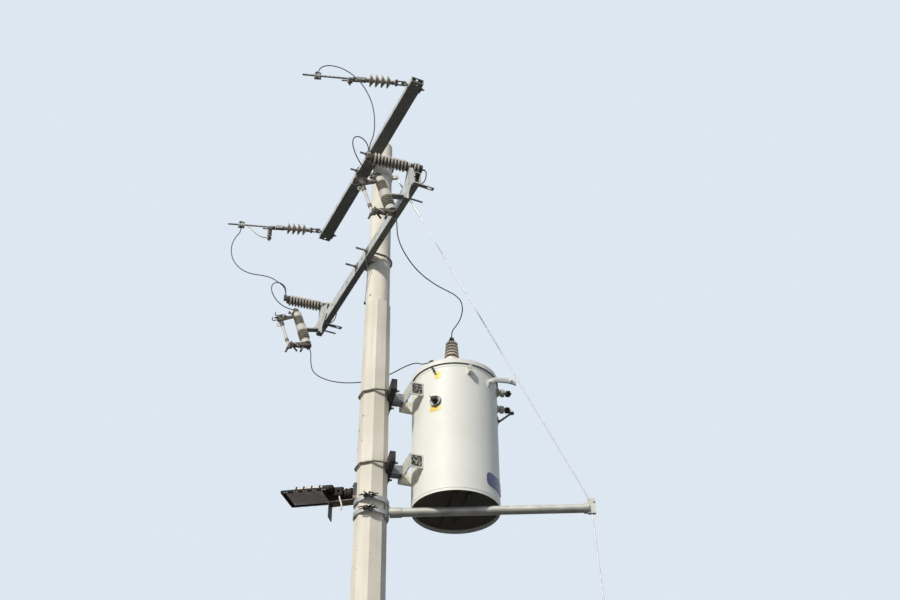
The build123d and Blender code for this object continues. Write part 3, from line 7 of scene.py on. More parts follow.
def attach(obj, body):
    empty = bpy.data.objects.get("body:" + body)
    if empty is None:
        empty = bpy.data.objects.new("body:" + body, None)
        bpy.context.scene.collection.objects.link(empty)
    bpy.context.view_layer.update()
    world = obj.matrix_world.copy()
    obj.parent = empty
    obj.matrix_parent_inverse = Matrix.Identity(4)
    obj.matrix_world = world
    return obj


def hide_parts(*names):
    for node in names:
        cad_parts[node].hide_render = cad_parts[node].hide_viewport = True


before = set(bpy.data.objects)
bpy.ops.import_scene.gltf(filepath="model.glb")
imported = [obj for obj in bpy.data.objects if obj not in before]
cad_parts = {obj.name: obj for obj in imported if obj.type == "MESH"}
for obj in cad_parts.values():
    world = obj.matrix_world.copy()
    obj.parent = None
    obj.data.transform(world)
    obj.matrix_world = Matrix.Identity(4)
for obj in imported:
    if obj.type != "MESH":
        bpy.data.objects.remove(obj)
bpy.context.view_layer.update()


# Where the photograph was taken from: eye height, looking up past the tank to the upper
# crossarm. A pale floor and sky, one soft key light from the left front, and sky light.
camera = bpy.data.objects.new("photo_camera", bpy.data.cameras.new("photo_camera"))
camera.data.lens = 52.28
camera.data.sensor_width = 36
camera.data.clip_end = 200
camera.matrix_world = (
    Matrix.Translation((-2.81, -7.207, 1.6))
    @ Matrix.Rotation(radians(-25.317), 4, "Z")
    @ Matrix.Rotation(radians(90 + 38.257), 4, "X")
    @ Matrix.Rotation(radians(-0.507), 4, "Z")
)
bpy.context.scene.collection.objects.link(camera)
bpy.context.scene.camera = camera
bpy.context.scene.view_settings.view_transform = "Standard"

key = bpy.data.objects.new("key_light", bpy.data.lights.new("key_light", "SUN"))
key.data.energy = 3.2
key.data.angle = radians(5)
key.data.color = (1.0, 0.965, 0.9)
key.rotation_euler = (radians(52), 0, radians(-56))
bpy.context.scene.collection.objects.link(key)

sky = bpy.data.worlds.new("pale_sky")
sky.use_nodes = True
bpy.context.scene.world = sky
sky_nodes, sky_links = sky.node_tree.nodes, sky.node_tree.links
sky_light = sky_nodes["Background"]
sky_light.inputs["Color"].default_value = (0.74, 0.84, 1.0, 1)
sky_light.inputs["Strength"].default_value = 0.42
seen_sky = sky_nodes.new("ShaderNodeBackground")
seen_sky.inputs["Color"].default_value = (0.72, 0.8, 0.88, 1)
ray = sky_nodes.new("ShaderNodeLightPath")
seen = ray.outputs["Is Camera Ray"]
for kind in ("Is Glossy Ray", "Is Transmission Ray"):
    either = sky_nodes.new("ShaderNodeMath")
    either.operation = "MAXIMUM"
    sky_links.new(seen, either.inputs[0])
    sky_links.new(ray.outputs[kind], either.inputs[1])
    seen = either.outputs[0]
choice = sky_nodes.new("ShaderNodeMixShader")
sky_links.new(seen, choice.inputs["Fac"])
sky_links.new(sky_light.outputs[0], choice.inputs[1])
sky_links.new(seen_sky.outputs[0], choice.inputs[2])
sky_links.new(choice.outputs[0], sky_nodes["World Output"].inputs["Surface"])

floor_mesh = bmesh.new()
bmesh.ops.create_circle(floor_mesh, cap_ends=True, radius=45, segments=96)
bmesh.ops.translate(floor_mesh, vec=(0, 0, -0.002), verts=floor_mesh.verts)
floor = bpy.data.objects.new("floor", bpy.data.meshes.new("floor"))
floor_mesh.to_mesh(floor.data)
floor_mesh.free()
floor_paint = bpy.data.materials.new("pale_floor")
floor_paint.use_nodes = True
floor_nodes, floor_links = floor_paint.node_tree.nodes, floor_paint.node_tree.links
floor_ray = floor_nodes.new("ShaderNodeLightPath")
floor_seen = floor_nodes.new("ShaderNodeMix")
floor_seen.data_type = "RGBA"
floor_seen.inputs[6].default_value = (0.08, 0.075, 0.07, 1)
floor_seen.inputs[7].default_value = (0.74, 0.74, 0.72, 1)
floor_links.new(floor_ray.outputs["Is Camera Ray"], floor_seen.inputs[0])
floor_links.new(floor_seen.outputs[2], floor_nodes["Principled BSDF"].inputs["Base Color"])
floor_nodes["Principled BSDF"].inputs["Roughness"].default_value = 0.9
floor.data.materials.append(floor_paint)
bpy.context.scene.collection.objects.link(floor)


# Jumper wires: black insulated copper between dead-end clamp, arrester, cutout and
# bushing. Each hangs in a loose bow of its own weight between two bolted clamps.
def add_noise(tree, vector, scale, detail=4.0):
    node = tree.nodes.new("ShaderNodeTexNoise")
    node.inputs["Scale"].default_value = scale
    node.inputs["Detail"].default_value = detail
    tree.links.new(vector, node.inputs["Vector"])
    return node.outputs["Fac"]


def remap(tree, value, low, high, to_low=0.0, to_high=1.0):
    node = tree.nodes.new("ShaderNodeMapRange")
    numbers = {"From Min": low, "From Max": high, "To Min": to_low, "To Max": to_high}
    for socket, number in numbers.items():
        node.inputs[socket].default_value = number
    tree.links.new(value, node.inputs["Value"])
    return node.outputs["Result"]


def object_place(tree, stretch=(1, 1, 1)):
    place = tree.nodes.new("ShaderNodeTexCoord")
    drawn = tree.nodes.new("ShaderNodeMapping")
    drawn.inputs["Scale"].default_value = stretch
    tree.links.new(place.outputs["Object"], drawn.inputs["Vector"])
    return drawn.outputs[0]


def weathered(name, pale, dull, grain, rough, metal=0.0, bump=0.2, spread=(0.36, 0.64), gloss=0.5):
    """A finish whose tone wanders between pale and dull, with roughness and relief from a finer grain."""
    material = bpy.data.materials.new(name)
    material.use_nodes = True
    tree = material.node_tree
    shader = tree.nodes["Principled BSDF"]
    shader.inputs["Metallic"].default_value = metal
    shader.inputs["Specular IOR Level"].default_value = gloss
    place = object_place(tree)
    tones = tree.nodes.new("ShaderNodeValToRGB")
    for stop, position, colour in zip(tones.color_ramp.elements, spread, (dull, pale)):
        stop.position = position
        stop.color = (*colour, 1)
    tree.links.new(add_noise(tree, place, grain, 6), tones.inputs["Fac"])
    tree.links.new(tones.outputs["Color"], shader.inputs["Base Color"])
    fine = add_noise(tree, place, grain * 7, 3)
    tree.links.new(remap(tree, fine, 0.3, 0.7, *rough), shader.inputs["Roughness"])
    relief = tree.nodes.new("ShaderNodeBump")
    relief.inputs["Strength"].default_value = bump
    relief.inputs["Distance"].default_value = 0.002
    tree.links.new(fine, relief.inputs["Height"])
    tree.links.new(relief.outputs["Normal"], shader.inputs["Normal"])
    return material


def bent_wire(name, routes, radius, material, rounding=3, steps=8):
    """Round wire or rod bent through a few points, one run for each route."""
    curve = bpy.data.curves.new(name, "CURVE")
    curve.dimensions = "3D"
    curve.bevel_depth = radius
    curve.bevel_resolution = rounding
    curve.resolution_u = steps
    curve.use_fill_caps = True
    for route in routes:
        line = curve.splines.new("NURBS")
        line.points.add(len(route) - 1)
        for point, spot in zip(line.points, route):
            point.co = (*spot, 1)
        line.order_u = 3
        line.use_endpoint_u = True
    wire = bpy.data.objects.new(name, curve)
    bpy.context.scene.collection.objects.link(wire)
    curve.materials.append(material)
    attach(wire, "pole_assembly")
    return wire


wire_black = weathered("wire_black", (0.03, 0.034, 0.045), (0.012, 0.013, 0.016), 60, (0.4, 0.65))
wire_diameter = 0.008
jumpers = {
    "near_line_jumper": (1.207, [
        (-0.8338, -0.7287, 9.0653), (-0.8338, -0.7287, 9.13), (-0.778, -0.747, 9.182),
        (-0.69, -0.79, 9.158), (-0.606, -0.83, 9.086), (-0.534, -0.854, 8.996),
        (-0.476, -0.862, 8.896), (-0.434, -0.864, 8.786), (-0.414, -0.863, 8.67),
        (-0.41, -0.864, 8.554), (-0.418, -0.863, 8.448), (-0.443, -0.8593, 8.362),
        (-0.443, -0.8593, 8.2843)]),
    "near_arrester_jumper": (0.598, [
        (-0.4416, -0.8474, 8.2843), (-0.4416, -0.8474, 8.34), (-0.472, -0.86, 8.39),
        (-0.53, -0.878, 8.398), (-0.576, -0.89, 8.36), (-0.586, -0.89, 8.298),
        (-0.564, -0.878, 8.238), (-0.522, -0.852, 8.19), (-0.47, -0.822, 8.16),
        (-0.42, -0.8, 8.15), (-0.3653, -0.8, 8.15)]),
    "near_bushing_lead": (1.378, [
        (-0.2067, -0.8, 7.8165), (-0.1887, -0.8, 7.767), (-0.186, -0.796, 7.692),
        (-0.172, -0.788, 7.622), (-0.138, -0.774, 7.556), (-0.082, -0.75, 7.502),
        (-0.014, -0.716, 7.466), (0.066, -0.674, 7.452), (0.154, -0.628, 7.456),
        (0.244, -0.578, 7.474), (0.334, -0.526, 7.504), (0.42, -0.47, 7.536),
        (0.496, -0.412, 7.548), (0.532, -0.362, 7.512), (0.526, -0.334, 7.444),
        (0.494, -0.322, 7.376), (0.4596, -0.3171, 7.322), (0.4596, -0.3171, 7.2649)]),
    "far_line_jumper": (1.022, [
        (-0.8338, 1.1343, 9.0247), (-0.8338, 1.1343, 8.972), (-0.862, 1.146, 8.925),
        (-0.888, 1.158, 8.85), (-0.89, 1.161, 8.762), (-0.872, 1.152, 8.676),
        (-0.836, 1.135, 8.604), (-0.784, 1.111, 8.546), (-0.716, 1.08, 8.508),
        (-0.64, 1.045, 8.494), (-0.566, 1.009, 8.47), (-0.504, 0.98, 8.418),
        (-0.4416, 0.9576, 8.354), (-0.4416, 0.9576, 8.2843)]),
    "far_arrester_jumper": (0.533, [
        (-0.443, 0.9457, 8.2843), (-0.443, 0.9457, 8.334), (-0.466, 0.948, 8.378),
        (-0.516, 0.952, 8.394), (-0.56, 0.955, 8.364), (-0.568, 0.955, 8.308),
        (-0.55, 0.954, 8.254), (-0.516, 0.953, 8.206), (-0.47, 0.951, 8.168),
        (-0.418, 0.95, 8.15), (-0.3653, 0.95, 8.15)]),
    "far_bushing_lead": (1.442, [
        (-0.2067, 0.95, 7.8165), (-0.1887, 0.95, 7.767), (-0.192, 0.94, 7.695),
        (-0.188, 0.922, 7.62), (-0.178, 0.901, 7.555), (-0.138, 0.843, 7.48),
        (-0.09, 0.773, 7.418), (-0.036, 0.695, 7.366), (0.021, 0.613, 7.325),
        (0.081, 0.526, 7.293), (0.141, 0.44, 7.27), (0.2, 0.354, 7.262),
        (0.26, 0.267, 7.276), (0.317, 0.185, 7.296), (0.368, 0.111, 7.294),
        (0.401, 0.0624, 7.2516), (0.4355, 0.0132, 7.2516)]),
}
for name, (length, points) in jumpers.items():
    wire = bent_wire(name + "_wire", [points], wire_diameter / 2, wire_black, rounding=4, steps=10)
    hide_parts(name)


# The pole: spun concrete, eight-sided up to 7.6 m and round above, 150 mm at the tip.
# Cast in a steel mould, so its faces keep small blow holes and faint stains.
def mix_over(material, factor, colour, strength=None):
    """Lays a colour over the finish where factor is 1, as densely as strength says."""
    tree = material.node_tree
    target = tree.nodes["Principled BSDF"].inputs["Base Color"]
    if strength is not None:
        factor = remap(tree, factor, 0, 1, 0, strength)
    node = tree.nodes.new("ShaderNodeMix")
    node.data_type = "RGBA"
    tree.links.new(factor, node.inputs[0])
    tree.links.new(target.links[0].from_socket, node.inputs[6])
    node.inputs[7].default_value = (*colour, 1)
    tree.links.new(node.outputs[2], target)


def height_of(tree, vector, low, high):
    parts = tree.nodes.new("ShaderNodeSeparateXYZ")
    tree.links.new(vector, parts.inputs[0])
    return remap(tree, parts.outputs["Z"], low, high)


def at_height(material, low, high):
    """0 below low and 1 above high, up the finished piece."""
    return height_of(material.node_tree, object_place(material.node_tree), low, high)


def specks(material, pitch, size, share):
    """Round spots of that size on a share of the cells of that pitch."""
    tree = material.node_tree
    cells = tree.nodes.new("ShaderNodeTexVoronoi")
    cells.inputs["Scale"].default_value = 1 / pitch
    tree.links.new(object_place(tree), cells.inputs["Vector"])
    round_spot = remap(tree, cells.outputs["Distance"], size / pitch, 0.6 * size / pitch)
    parts = tree.nodes.new("ShaderNodeSeparateColor")
    tree.links.new(cells.outputs["Color"], parts.inputs[0])
    chosen = remap(tree, parts.outputs[0], share + 0.02, share)
    both = tree.nodes.new("ShaderNodeMath")
    both.operation = "MULTIPLY"
    tree.links.new(round_spot, both.inputs[0])
    tree.links.new(chosen, both.inputs[1])
    return both.outputs[0]


def streaks(material, grain, low, high, strength, colour, stretch=(1, 1, 0.06)):
    """Runs of stain drawn out along Z."""
    tree = material.node_tree
    run = add_noise(tree, object_place(tree, stretch), grain, 5)
    mix_over(material, remap(tree, run, low, high, 0, strength), colour)


def coat(material, *nodes):
    """Gives CAD nodes a finish."""
    for node in nodes:
        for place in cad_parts[node].material_slots:
            place.material = material


concrete = weathered("spun_concrete", (0.88, 0.82, 0.7), (0.79, 0.73, 0.61), 5, (0.75, 0.92), bump=0.45)
streaks(concrete, 22, 0.52, 0.72, 0.35, (0.56, 0.5, 0.4))
# Painted shade: dark spots where the blow holes would be, which have no depth in the mesh.
mix_over(concrete, specks(concrete, 0.11, 0.013, 0.32), (0.3, 0.26, 0.2))
mix_over(concrete, specks(concrete, 0.037, 0.0042, 0.35), (0.38, 0.33, 0.26))
mix_over(concrete, at_height(concrete, 0.5, 0.0), (0.36, 0.31, 0.24), 0.45)
coat(concrete, "pole")


# Crossarms: hot-dip galvanised square tube, two metres long, one laid flat at the top and
# one on edge below, on a curved saddle. The zinc has gone dull, with pale bloom.
def facing_up(material, low, high):
    """1 on faces that look up, or with high below low on undersides: the mask for painted light on tops and
    painted shade on undersides.
    """
    tree = material.node_tree
    return height_of(tree, tree.nodes.new("ShaderNodeNewGeometry").outputs["Normal"], low, high)


galvanised = weathered("dull_zinc", (0.7, 0.705, 0.67), (0.5, 0.505, 0.48), 16, (0.55, 0.75), 0.08, 0.25)
mix_over(galvanised, specks(galvanised, 0.03, 0.006, 0.25), (0.34, 0.3, 0.24))
streaks(galvanised, 30, 0.55, 0.75, 0.4, (0.34, 0.31, 0.26))
# Painted shade: faces that look down are painted near black.
mix_over(galvanised, facing_up(galvanised, -0.35, -0.8), (0.05, 0.048, 0.042), 0.78)
coat(galvanised, "upper_crossarm", "lower_crossarm", "arm_saddle")


# U bolts of 16 mm rod hold the arms and the saddle to the pole; the thread ends stand out
# in front of the arms. Zinc coated, browned by weather at nuts and washers.
bolt_zinc = weathered("bolt_zinc", (0.4, 0.39, 0.36), (0.15, 0.14, 0.125), 40, (0.4, 0.65), 0.6, 0.3)
mix_over(bolt_zinc, specks(bolt_zinc, 0.012, 0.004, 0.35), (0.22, 0.13, 0.07))
coat(bolt_zinc, "upper_u_bolt", "lower_u_bolt")


# Dead-end strings: forged eye bolt and shackle, four-shed insulator, fork, and a grip of
# preformed wires with a bolted tap clamp. Smaller clamps hang under both, a long one under
# the far string with a white wire tail bolted in it.
def new_piece(name, shape, material, body="pole_assembly", place=None, stands_for=()):
    """Makes a bmesh a piece of the object, at its place, riding on a body."""
    bmesh.ops.remove_doubles(shape, verts=shape.verts, dist=1e-6)
    bmesh.ops.recalc_face_normals(shape, faces=shape.faces)
    if place is not None:
        bmesh.ops.transform(shape, matrix=place, verts=shape.verts)
    mesh = bpy.data.meshes.new(name)
    shape.to_mesh(mesh)
    shape.free()
    mesh.shade_smooth()
    mesh.set_sharp_from_angle(angle=radians(35))
    piece = bpy.data.objects.new(name, mesh)
    bpy.context.scene.collection.objects.link(piece)
    mesh.materials.append(material)
    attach(piece, body)
    if stands_for:
        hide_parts(*stands_for)


def add_to(shape, part):
    """Puts a finished part of a piece with its other parts."""
    mesh = bpy.data.meshes.new("part")
    part.to_mesh(mesh)
    part.free()
    shape.from_mesh(mesh)
    bpy.data.meshes.remove(mesh)


def turned(shape, profile, place=Matrix(), steps=28):
    """Spins a profile of (radius, height) round Z, as a lathe would."""
    part = bmesh.new()
    verts = [part.verts.new((radius, 0, height)) for radius, height in profile]
    edges = [part.edges.new(pair) for pair in zip(verts, verts[1:])]
    bmesh.ops.spin(part, geom=verts + edges, cent=(0, 0, 0), axis=(0, 0, 1), angle=2 * pi, steps=steps,
                   use_merge=True)
    bmesh.ops.remove_doubles(part, verts=part.verts, dist=1e-6)
    bmesh.ops.transform(part, matrix=place, verts=part.verts)
    add_to(shape, part)


def break_edges(shape, edges, width, segments=2):
    bmesh.ops.bevel(shape, geom=list(edges), offset=width, offset_type="OFFSET", affect="EDGES",
                    segments=segments, profile=0.5, material=-1)


def aimed(start, end):
    """Z along the line from start to end, origin at start."""
    start, end = Vector(start), Vector(end)
    return Matrix.Translation(start) @ (end - start).to_track_quat("Z", "Y").to_matrix().to_4x4()


def bar(shape, start, end, width, thick, edge=0.002):
    """A flat bar between two points, its edges broken."""
    run = (Vector(end) - Vector(start)).length
    made = bmesh.ops.create_cube(shape, size=1)["verts"]
    bmesh.ops.scale(shape, vec=(width, thick, run), verts=made)
    bmesh.ops.translate(shape, vec=(0, 0, run / 2), verts=made)
    bmesh.ops.transform(shape, matrix=aimed(start, end), verts=made)
    break_edges(shape, {e for v in made for e in v.link_edges}, edge)


def bolt(shape, at, out, across=0.024, head=0.014, washer=0.0, stem=0.0):
    """A hexagon head or nut on a surface, looking out, with a round washer and a stub of thread."""
    place = aimed(at, Vector(at) + Vector(out))
    base = 0.0
    if washer:
        base = 0.003
        turned(shape, [(0, 0), (washer / 2, 0), (washer / 2, base), (0, base)], place, 20)
    made = bmesh.ops.create_cone(shape, cap_ends=True, segments=6, radius1=across / 2, radius2=across / 2,
                                 depth=head, matrix=place @ Matrix.Translation((0, 0, base + head / 2)))["verts"]
    rim = [e for e in {e for v in made for e in v.link_edges}
           if all((place.inverted() @ v.co).z > base + head * 0.9 for v in e.verts)]
    break_edges(shape, rim, across * 0.07)
    if stem:
        top = base + head
        turned(shape, [(0, top), (across * 0.3, top), (across * 0.3, top + stem - 0.002),
                       (across * 0.24, top + stem), (0, top + stem)], place, 14)


def shade_wire_grooves(material, scale, low, high, strength, colour):
    """Painted shade in the grooves between the wires of a strand."""
    tree = material.node_tree
    groove = tree.nodes.new("ShaderNodeTexWave")
    groove.bands_direction = "DIAGONAL"
    groove.inputs["Scale"].default_value = scale
    tree.links.new(object_place(tree), groove.inputs["Vector"])
    mix_over(material, remap(tree, groove.outputs["Fac"], low, high, 0, strength), colour)


string_rows = {"near": -0.928, "far": 0.935}
string_start, string_level, string_turn = -0.2093, 9.053, 162.3
first_shed, shed_pitch = 0.1255, 0.04325
shed_disc = [(0.0148, -0.012), (0.026, -0.011), (0.04, -0.0065), (0.0475, -0.002), (0.0492, 0.002),
             (0.048, 0.0062), (0.044, 0.0085), (0.03, 0.0085), (0.0148, 0.011)]


def on_string(side):
    """X out along the string from its eye in the arm."""
    return (Matrix.Translation((string_start, string_rows[side], string_level))
            @ Matrix.Rotation(radians(string_turn), 4, "Z"))


string_glaze = weathered("string_glaze", (0.62, 0.56, 0.47), (0.44, 0.38, 0.31), 24, (0.2, 0.4), bump=0.1)
# Painted light on faces that look up and painted shade on faces that look down.
mix_over(string_glaze, facing_up(string_glaze, 0.1, 0.7), (0.78, 0.73, 0.63), 0.6)
mix_over(string_glaze, facing_up(string_glaze, -0.05, -0.75), (0.09, 0.08, 0.07), 0.8)
coat(string_glaze, "near_string_insulator", "far_string_insulator")
for side in string_rows:
    sheds = bmesh.new()
    for shed in range(4):
        turned(sheds, shed_disc, on_string(side) @ Matrix.Rotation(radians(90), 4, "Y")
               @ Matrix.Translation((0, 0, first_shed + shed_pitch * shed)), 36)
    new_piece(side + "_string_sheds", sheds, string_glaze)

forged = weathered("forged_zinc", (0.3, 0.28, 0.25), (0.1, 0.09, 0.08), 45, (0.45, 0.7), 0.55, 0.35)
mix_over(forged, specks(forged, 0.014, 0.005, 0.4), (0.2, 0.11, 0.05))
coat(forged, "near_string_hardware", "far_string_hardware")
grip_wire = weathered("wrapped_wire", (0.5, 0.49, 0.46), (0.25, 0.24, 0.22), 50, (0.35, 0.55), 0.7, 0.1)
# Painted shade in the grooves between the wrapped wires.
shade_wire_grooves(grip_wire, 28, 0.5, 0.1, 0.75, (0.09, 0.085, 0.08))
coat(grip_wire, "near_dead_end_grip", "far_dead_end_grip")

clamp_parts = bmesh.new()
for side, drop, bolt_levels in (("near", 0.02975, (-0.03,)), ("far", 0.1275, (-0.045, -0.082, -0.122))):
    lie = on_string(side)
    for along in (0.641, 0.669):
        bolt(clamp_parts, lie @ Vector((along, 0.014, -0.019)), (0, 0, -1), 0.017, 0.011, 0.022, 0.014)
    bar(clamp_parts, lie @ Vector((0.655, 0, 0.018)), lie @ Vector((0.655, 0, 0.028)), 0.046, 0.03)
    bar(clamp_parts, lie @ Vector((0.37, 0, -0.004)), lie @ Vector((0.43, 0, -0.01)), 0.034, 0.02, 0.004)
    bar(clamp_parts, lie @ Vector((0.405, 0, -0.012)), lie @ Vector((0.412, 0, -0.012 - drop)), 0.03, 0.014,
        0.003)
    for up in bolt_levels:
        for way in (-1, 1):
            bolt(clamp_parts, lie @ Vector((0.411, way * 0.007, up)), lie.to_3x3() @ Vector((0, way, 0)),
                 0.022, 0.014, 0.03, 0.014)
        bar(clamp_parts, lie @ Vector((0.392, 0, up)), lie @ Vector((0.43, 0, up - 0.004)), 0.016, 0.026, 0.003)
new_piece("string_clamps", clamp_parts, forged)
tail_metal = weathered("bright_aluminium", (0.82, 0.82, 0.8), (0.62, 0.62, 0.6), 60, (0.35, 0.55), 0.25, 0.1)
bent_wire("far_line_tail", [[on_string("far") @ Vector((along, 0, up)) for along, up in (
    (0.6, -0.011), (0.585, -0.02), (0.56, -0.045), (0.53, -0.082), (0.49, -0.112), (0.45, -0.124),
    (0.425, -0.122))]], 0.0055, tail_metal)


# Arresters: grey-tan polymer housings of fourteen sheds over each end of the lower arm, on
# galvanised gusset plates. Their tops are painted paler as painted light; their undersides and
# the gaps between the sheds are painted dark as painted shade.
def vector_step(tree, operation, first, second=None):
    node = tree.nodes.new("ShaderNodeVectorMath")
    node.operation = operation
    tree.links.new(first, node.inputs[0])
    if second is not None:
        node.inputs[1].default_value = second
    return node


def off_axis(material, centre, axis):
    """Distance of a point from the axis of the piece, in metres."""
    tree = material.node_tree
    shift = vector_step(tree, "SUBTRACT", object_place(tree), centre)
    cross = vector_step(tree, "CROSS_PRODUCT", shift.outputs[0], axis)
    return vector_step(tree, "LENGTH", cross.outputs[0]).outputs["Value"]


arrester_rows = {"near": -0.9, "far": 0.905}
arrester_end, arrester_level, arrester_turn = -0.045, 8.238, 173.3
arrester_axis = (cos(radians(arrester_turn)), sin(radians(arrester_turn)), 0)
first_ring, ring_pitch = 0.0325, 0.02493
shed_ring = [(0.0288, -0.0082), (0.037, -0.0078), (0.0436, -0.0055), (0.0461, 0.0), (0.0436, 0.0055),
             (0.037, 0.0078), (0.0288, 0.0082)]
low_rib = [(0.029, -0.004), (0.034, -0.0035), (0.035, 0), (0.034, 0.0035), (0.029, 0.004)]
for side, row in arrester_rows.items():
    foot = (arrester_end, row, arrester_level)
    polymer = weathered(side + "_arrester_polymer", (0.62, 0.565, 0.485), (0.46, 0.41, 0.345), 30,
                        (0.55, 0.8), bump=0.15)
    # Painted light on faces that look up; painted shade on undersides and near the core between the sheds.
    mix_over(polymer, facing_up(polymer, -0.1, 0.6), (0.8, 0.75, 0.66), 0.7)
    mix_over(polymer, facing_up(polymer, -0.3, -0.9), (0.2, 0.17, 0.135), 0.6)
    mix_over(polymer, remap(polymer.node_tree, off_axis(polymer, foot, arrester_axis), 0.041, 0.034),
             (0.085, 0.065, 0.05))
    coat(polymer, side + "_arrester")
    along_arrester = (Matrix.Translation(foot) @ Matrix.Rotation(radians(arrester_turn), 4, "Z")
                      @ Matrix.Rotation(radians(90), 4, "Y"))
    rings = bmesh.new()
    for rib in (0, 1, *range(4, 14)):
        turned(rings, shed_ring, along_arrester @ Matrix.Translation((0, 0, first_ring + ring_pitch * rib)), 32)
    for level in (0.0905, 0.1145):
        turned(rings, low_rib, along_arrester @ Matrix.Translation((0, 0, level)), 32)
    new_piece(side + "_arrester_sheds", rings, polymer)
coat(galvanised, "near_arrester_bracket", "far_arrester_bracket")
bent_wire("arrester_earth_leads", [
    [(x, row + y, z) for x, y, z in (
        (-0.03, -0.002, 8.238), (-0.014, -0.003, 8.236), (-0.011, -0.006, 8.21), (-0.016, -0.012, 8.16),
        (-0.03, -0.02, 8.11), (-0.055, -0.028, 8.07), (-0.08, -0.033, 8.05), (-0.094, -0.034, 8.04))]
    for row in arrester_rows.values()], 0.0042, wire_black)


# Cutout insulators: glazed stoneware, two groups of four ribs, with pale cemented caps and
# middle band. The top contacts and hinges are bronze and galvanised castings.
def along_axis(material, centre, axis):
    """How far a point lies from the middle of the piece along its axis, in metres, either way."""
    tree = material.node_tree
    shift = vector_step(tree, "SUBTRACT", object_place(tree), centre)
    along = vector_step(tree, "DOT_PRODUCT", shift.outputs[0], axis)
    size = tree.nodes.new("ShaderNodeMath")
    size.operation = "ABSOLUTE"
    tree.links.new(along.outputs["Value"], size.inputs[0])
    return size.outputs[0]


cutout_rows = {"near": -0.8, "far": 0.95}
cutout_out, cutout_level, cutout_tilt = -0.285, 7.985, 20
cutout_axis = (-sin(radians(cutout_tilt)), 0, cos(radians(cutout_tilt)))


def on_cutout(side):
    """Z up along the leaning insulator from its middle."""
    return (Matrix.Translation((cutout_out, cutout_rows[side], cutout_level))
            @ Matrix.Rotation(radians(-cutout_tilt), 4, "Y"))


stoneware = weathered("cutout_glaze", (0.42, 0.39, 0.32), (0.3, 0.275, 0.225), 20, (0.2, 0.38), bump=0.08)
# Painted light: faces that look up are painted paler.
mix_over(stoneware, facing_up(stoneware, 0.0, 0.8), (0.8, 0.76, 0.68), 0.45)
from_middle = along_axis(stoneware, (cutout_out, 0, cutout_level), cutout_axis)
mix_over(stoneware, remap(stoneware.node_tree, from_middle, 0.1065, 0.1085), (0.8, 0.75, 0.65))
coat(stoneware, "near_cutout_insulator", "far_cutout_insulator")
cream_band = weathered("cream_band", (0.82, 0.77, 0.67), (0.7, 0.65, 0.55), 25, (0.35, 0.5), bump=0.1)
streaks(cream_band, 40, 0.55, 0.75, 0.3, (0.5, 0.43, 0.33), (1, 1, 0.3))
for side in cutout_rows:
    sleeve = bmesh.new()
    turned(sleeve, [(0.0345, -0.0285), (0.0385, -0.028), (0.0412, -0.025), (0.0412, 0.025), (0.0385, 0.028),
                    (0.0345, 0.0285)], on_cutout(side), 36)
    new_piece(side + "_cutout_middle_band", sleeve, cream_band)
casting = weathered("contact_casting", (0.27, 0.24, 0.2), (0.09, 0.078, 0.065), 40, (0.4, 0.7), 0.6, 0.3)
mix_over(casting, specks(casting, 0.02, 0.008, 0.3), (0.32, 0.22, 0.11))
coat(casting, "near_cutout_top_contact", "far_cutout_top_contact", "near_cutout_hinge", "far_cutout_hinge")
coat(galvanised, "near_cutout_bracket", "far_cutout_bracket")


# Fuse tubes: white fibre-wound tubes that swing down on the hinge when the fuse blows.
# Each has a bronze ferrule with a pull ring at its top, cast in one.
tube_out = -0.158
fibre = weathered("white_fibre_tube", (0.87, 0.86, 0.81), (0.76, 0.74, 0.68), 25, (0.4, 0.6), bump=0.15)
streaks(fibre, 60, 0.5, 0.7, 0.3, (0.5, 0.44, 0.34), (1, 1, 0.2))
bronze = weathered("weathered_bronze", (0.3, 0.25, 0.16), (0.13, 0.105, 0.075), 60, (0.45, 0.7), 0.4, 0.3)
for side in cutout_rows:
    coat(fibre, side + "_fuse_tube")
    tube_lie = on_cutout(side) @ Matrix.Translation((tube_out, 0, 0))
    ferrule = bmesh.new()
    turned(ferrule, [(0.0165, 0.036), (0.0185, 0.037), (0.0185, 0.044), (0.0172, 0.046), (0.0172, 0.052),
                     (0.0185, 0.054), (0.0185, 0.061), (0.0165, 0.062)], tube_lie, 28)
    turned(ferrule, [(0.0122, -0.118), (0.0148, -0.117), (0.0148, -0.09), (0.0122, -0.088)], tube_lie, 24)
    for way in (-1, 1):
        bolt(ferrule, tube_lie @ Vector((0, way * 0.018, 0.049)), (0, way, 0), 0.013, 0.006)
    new_piece(side + "_fuse_ferrule", ferrule, bronze, body=side + "_fuse_tube")


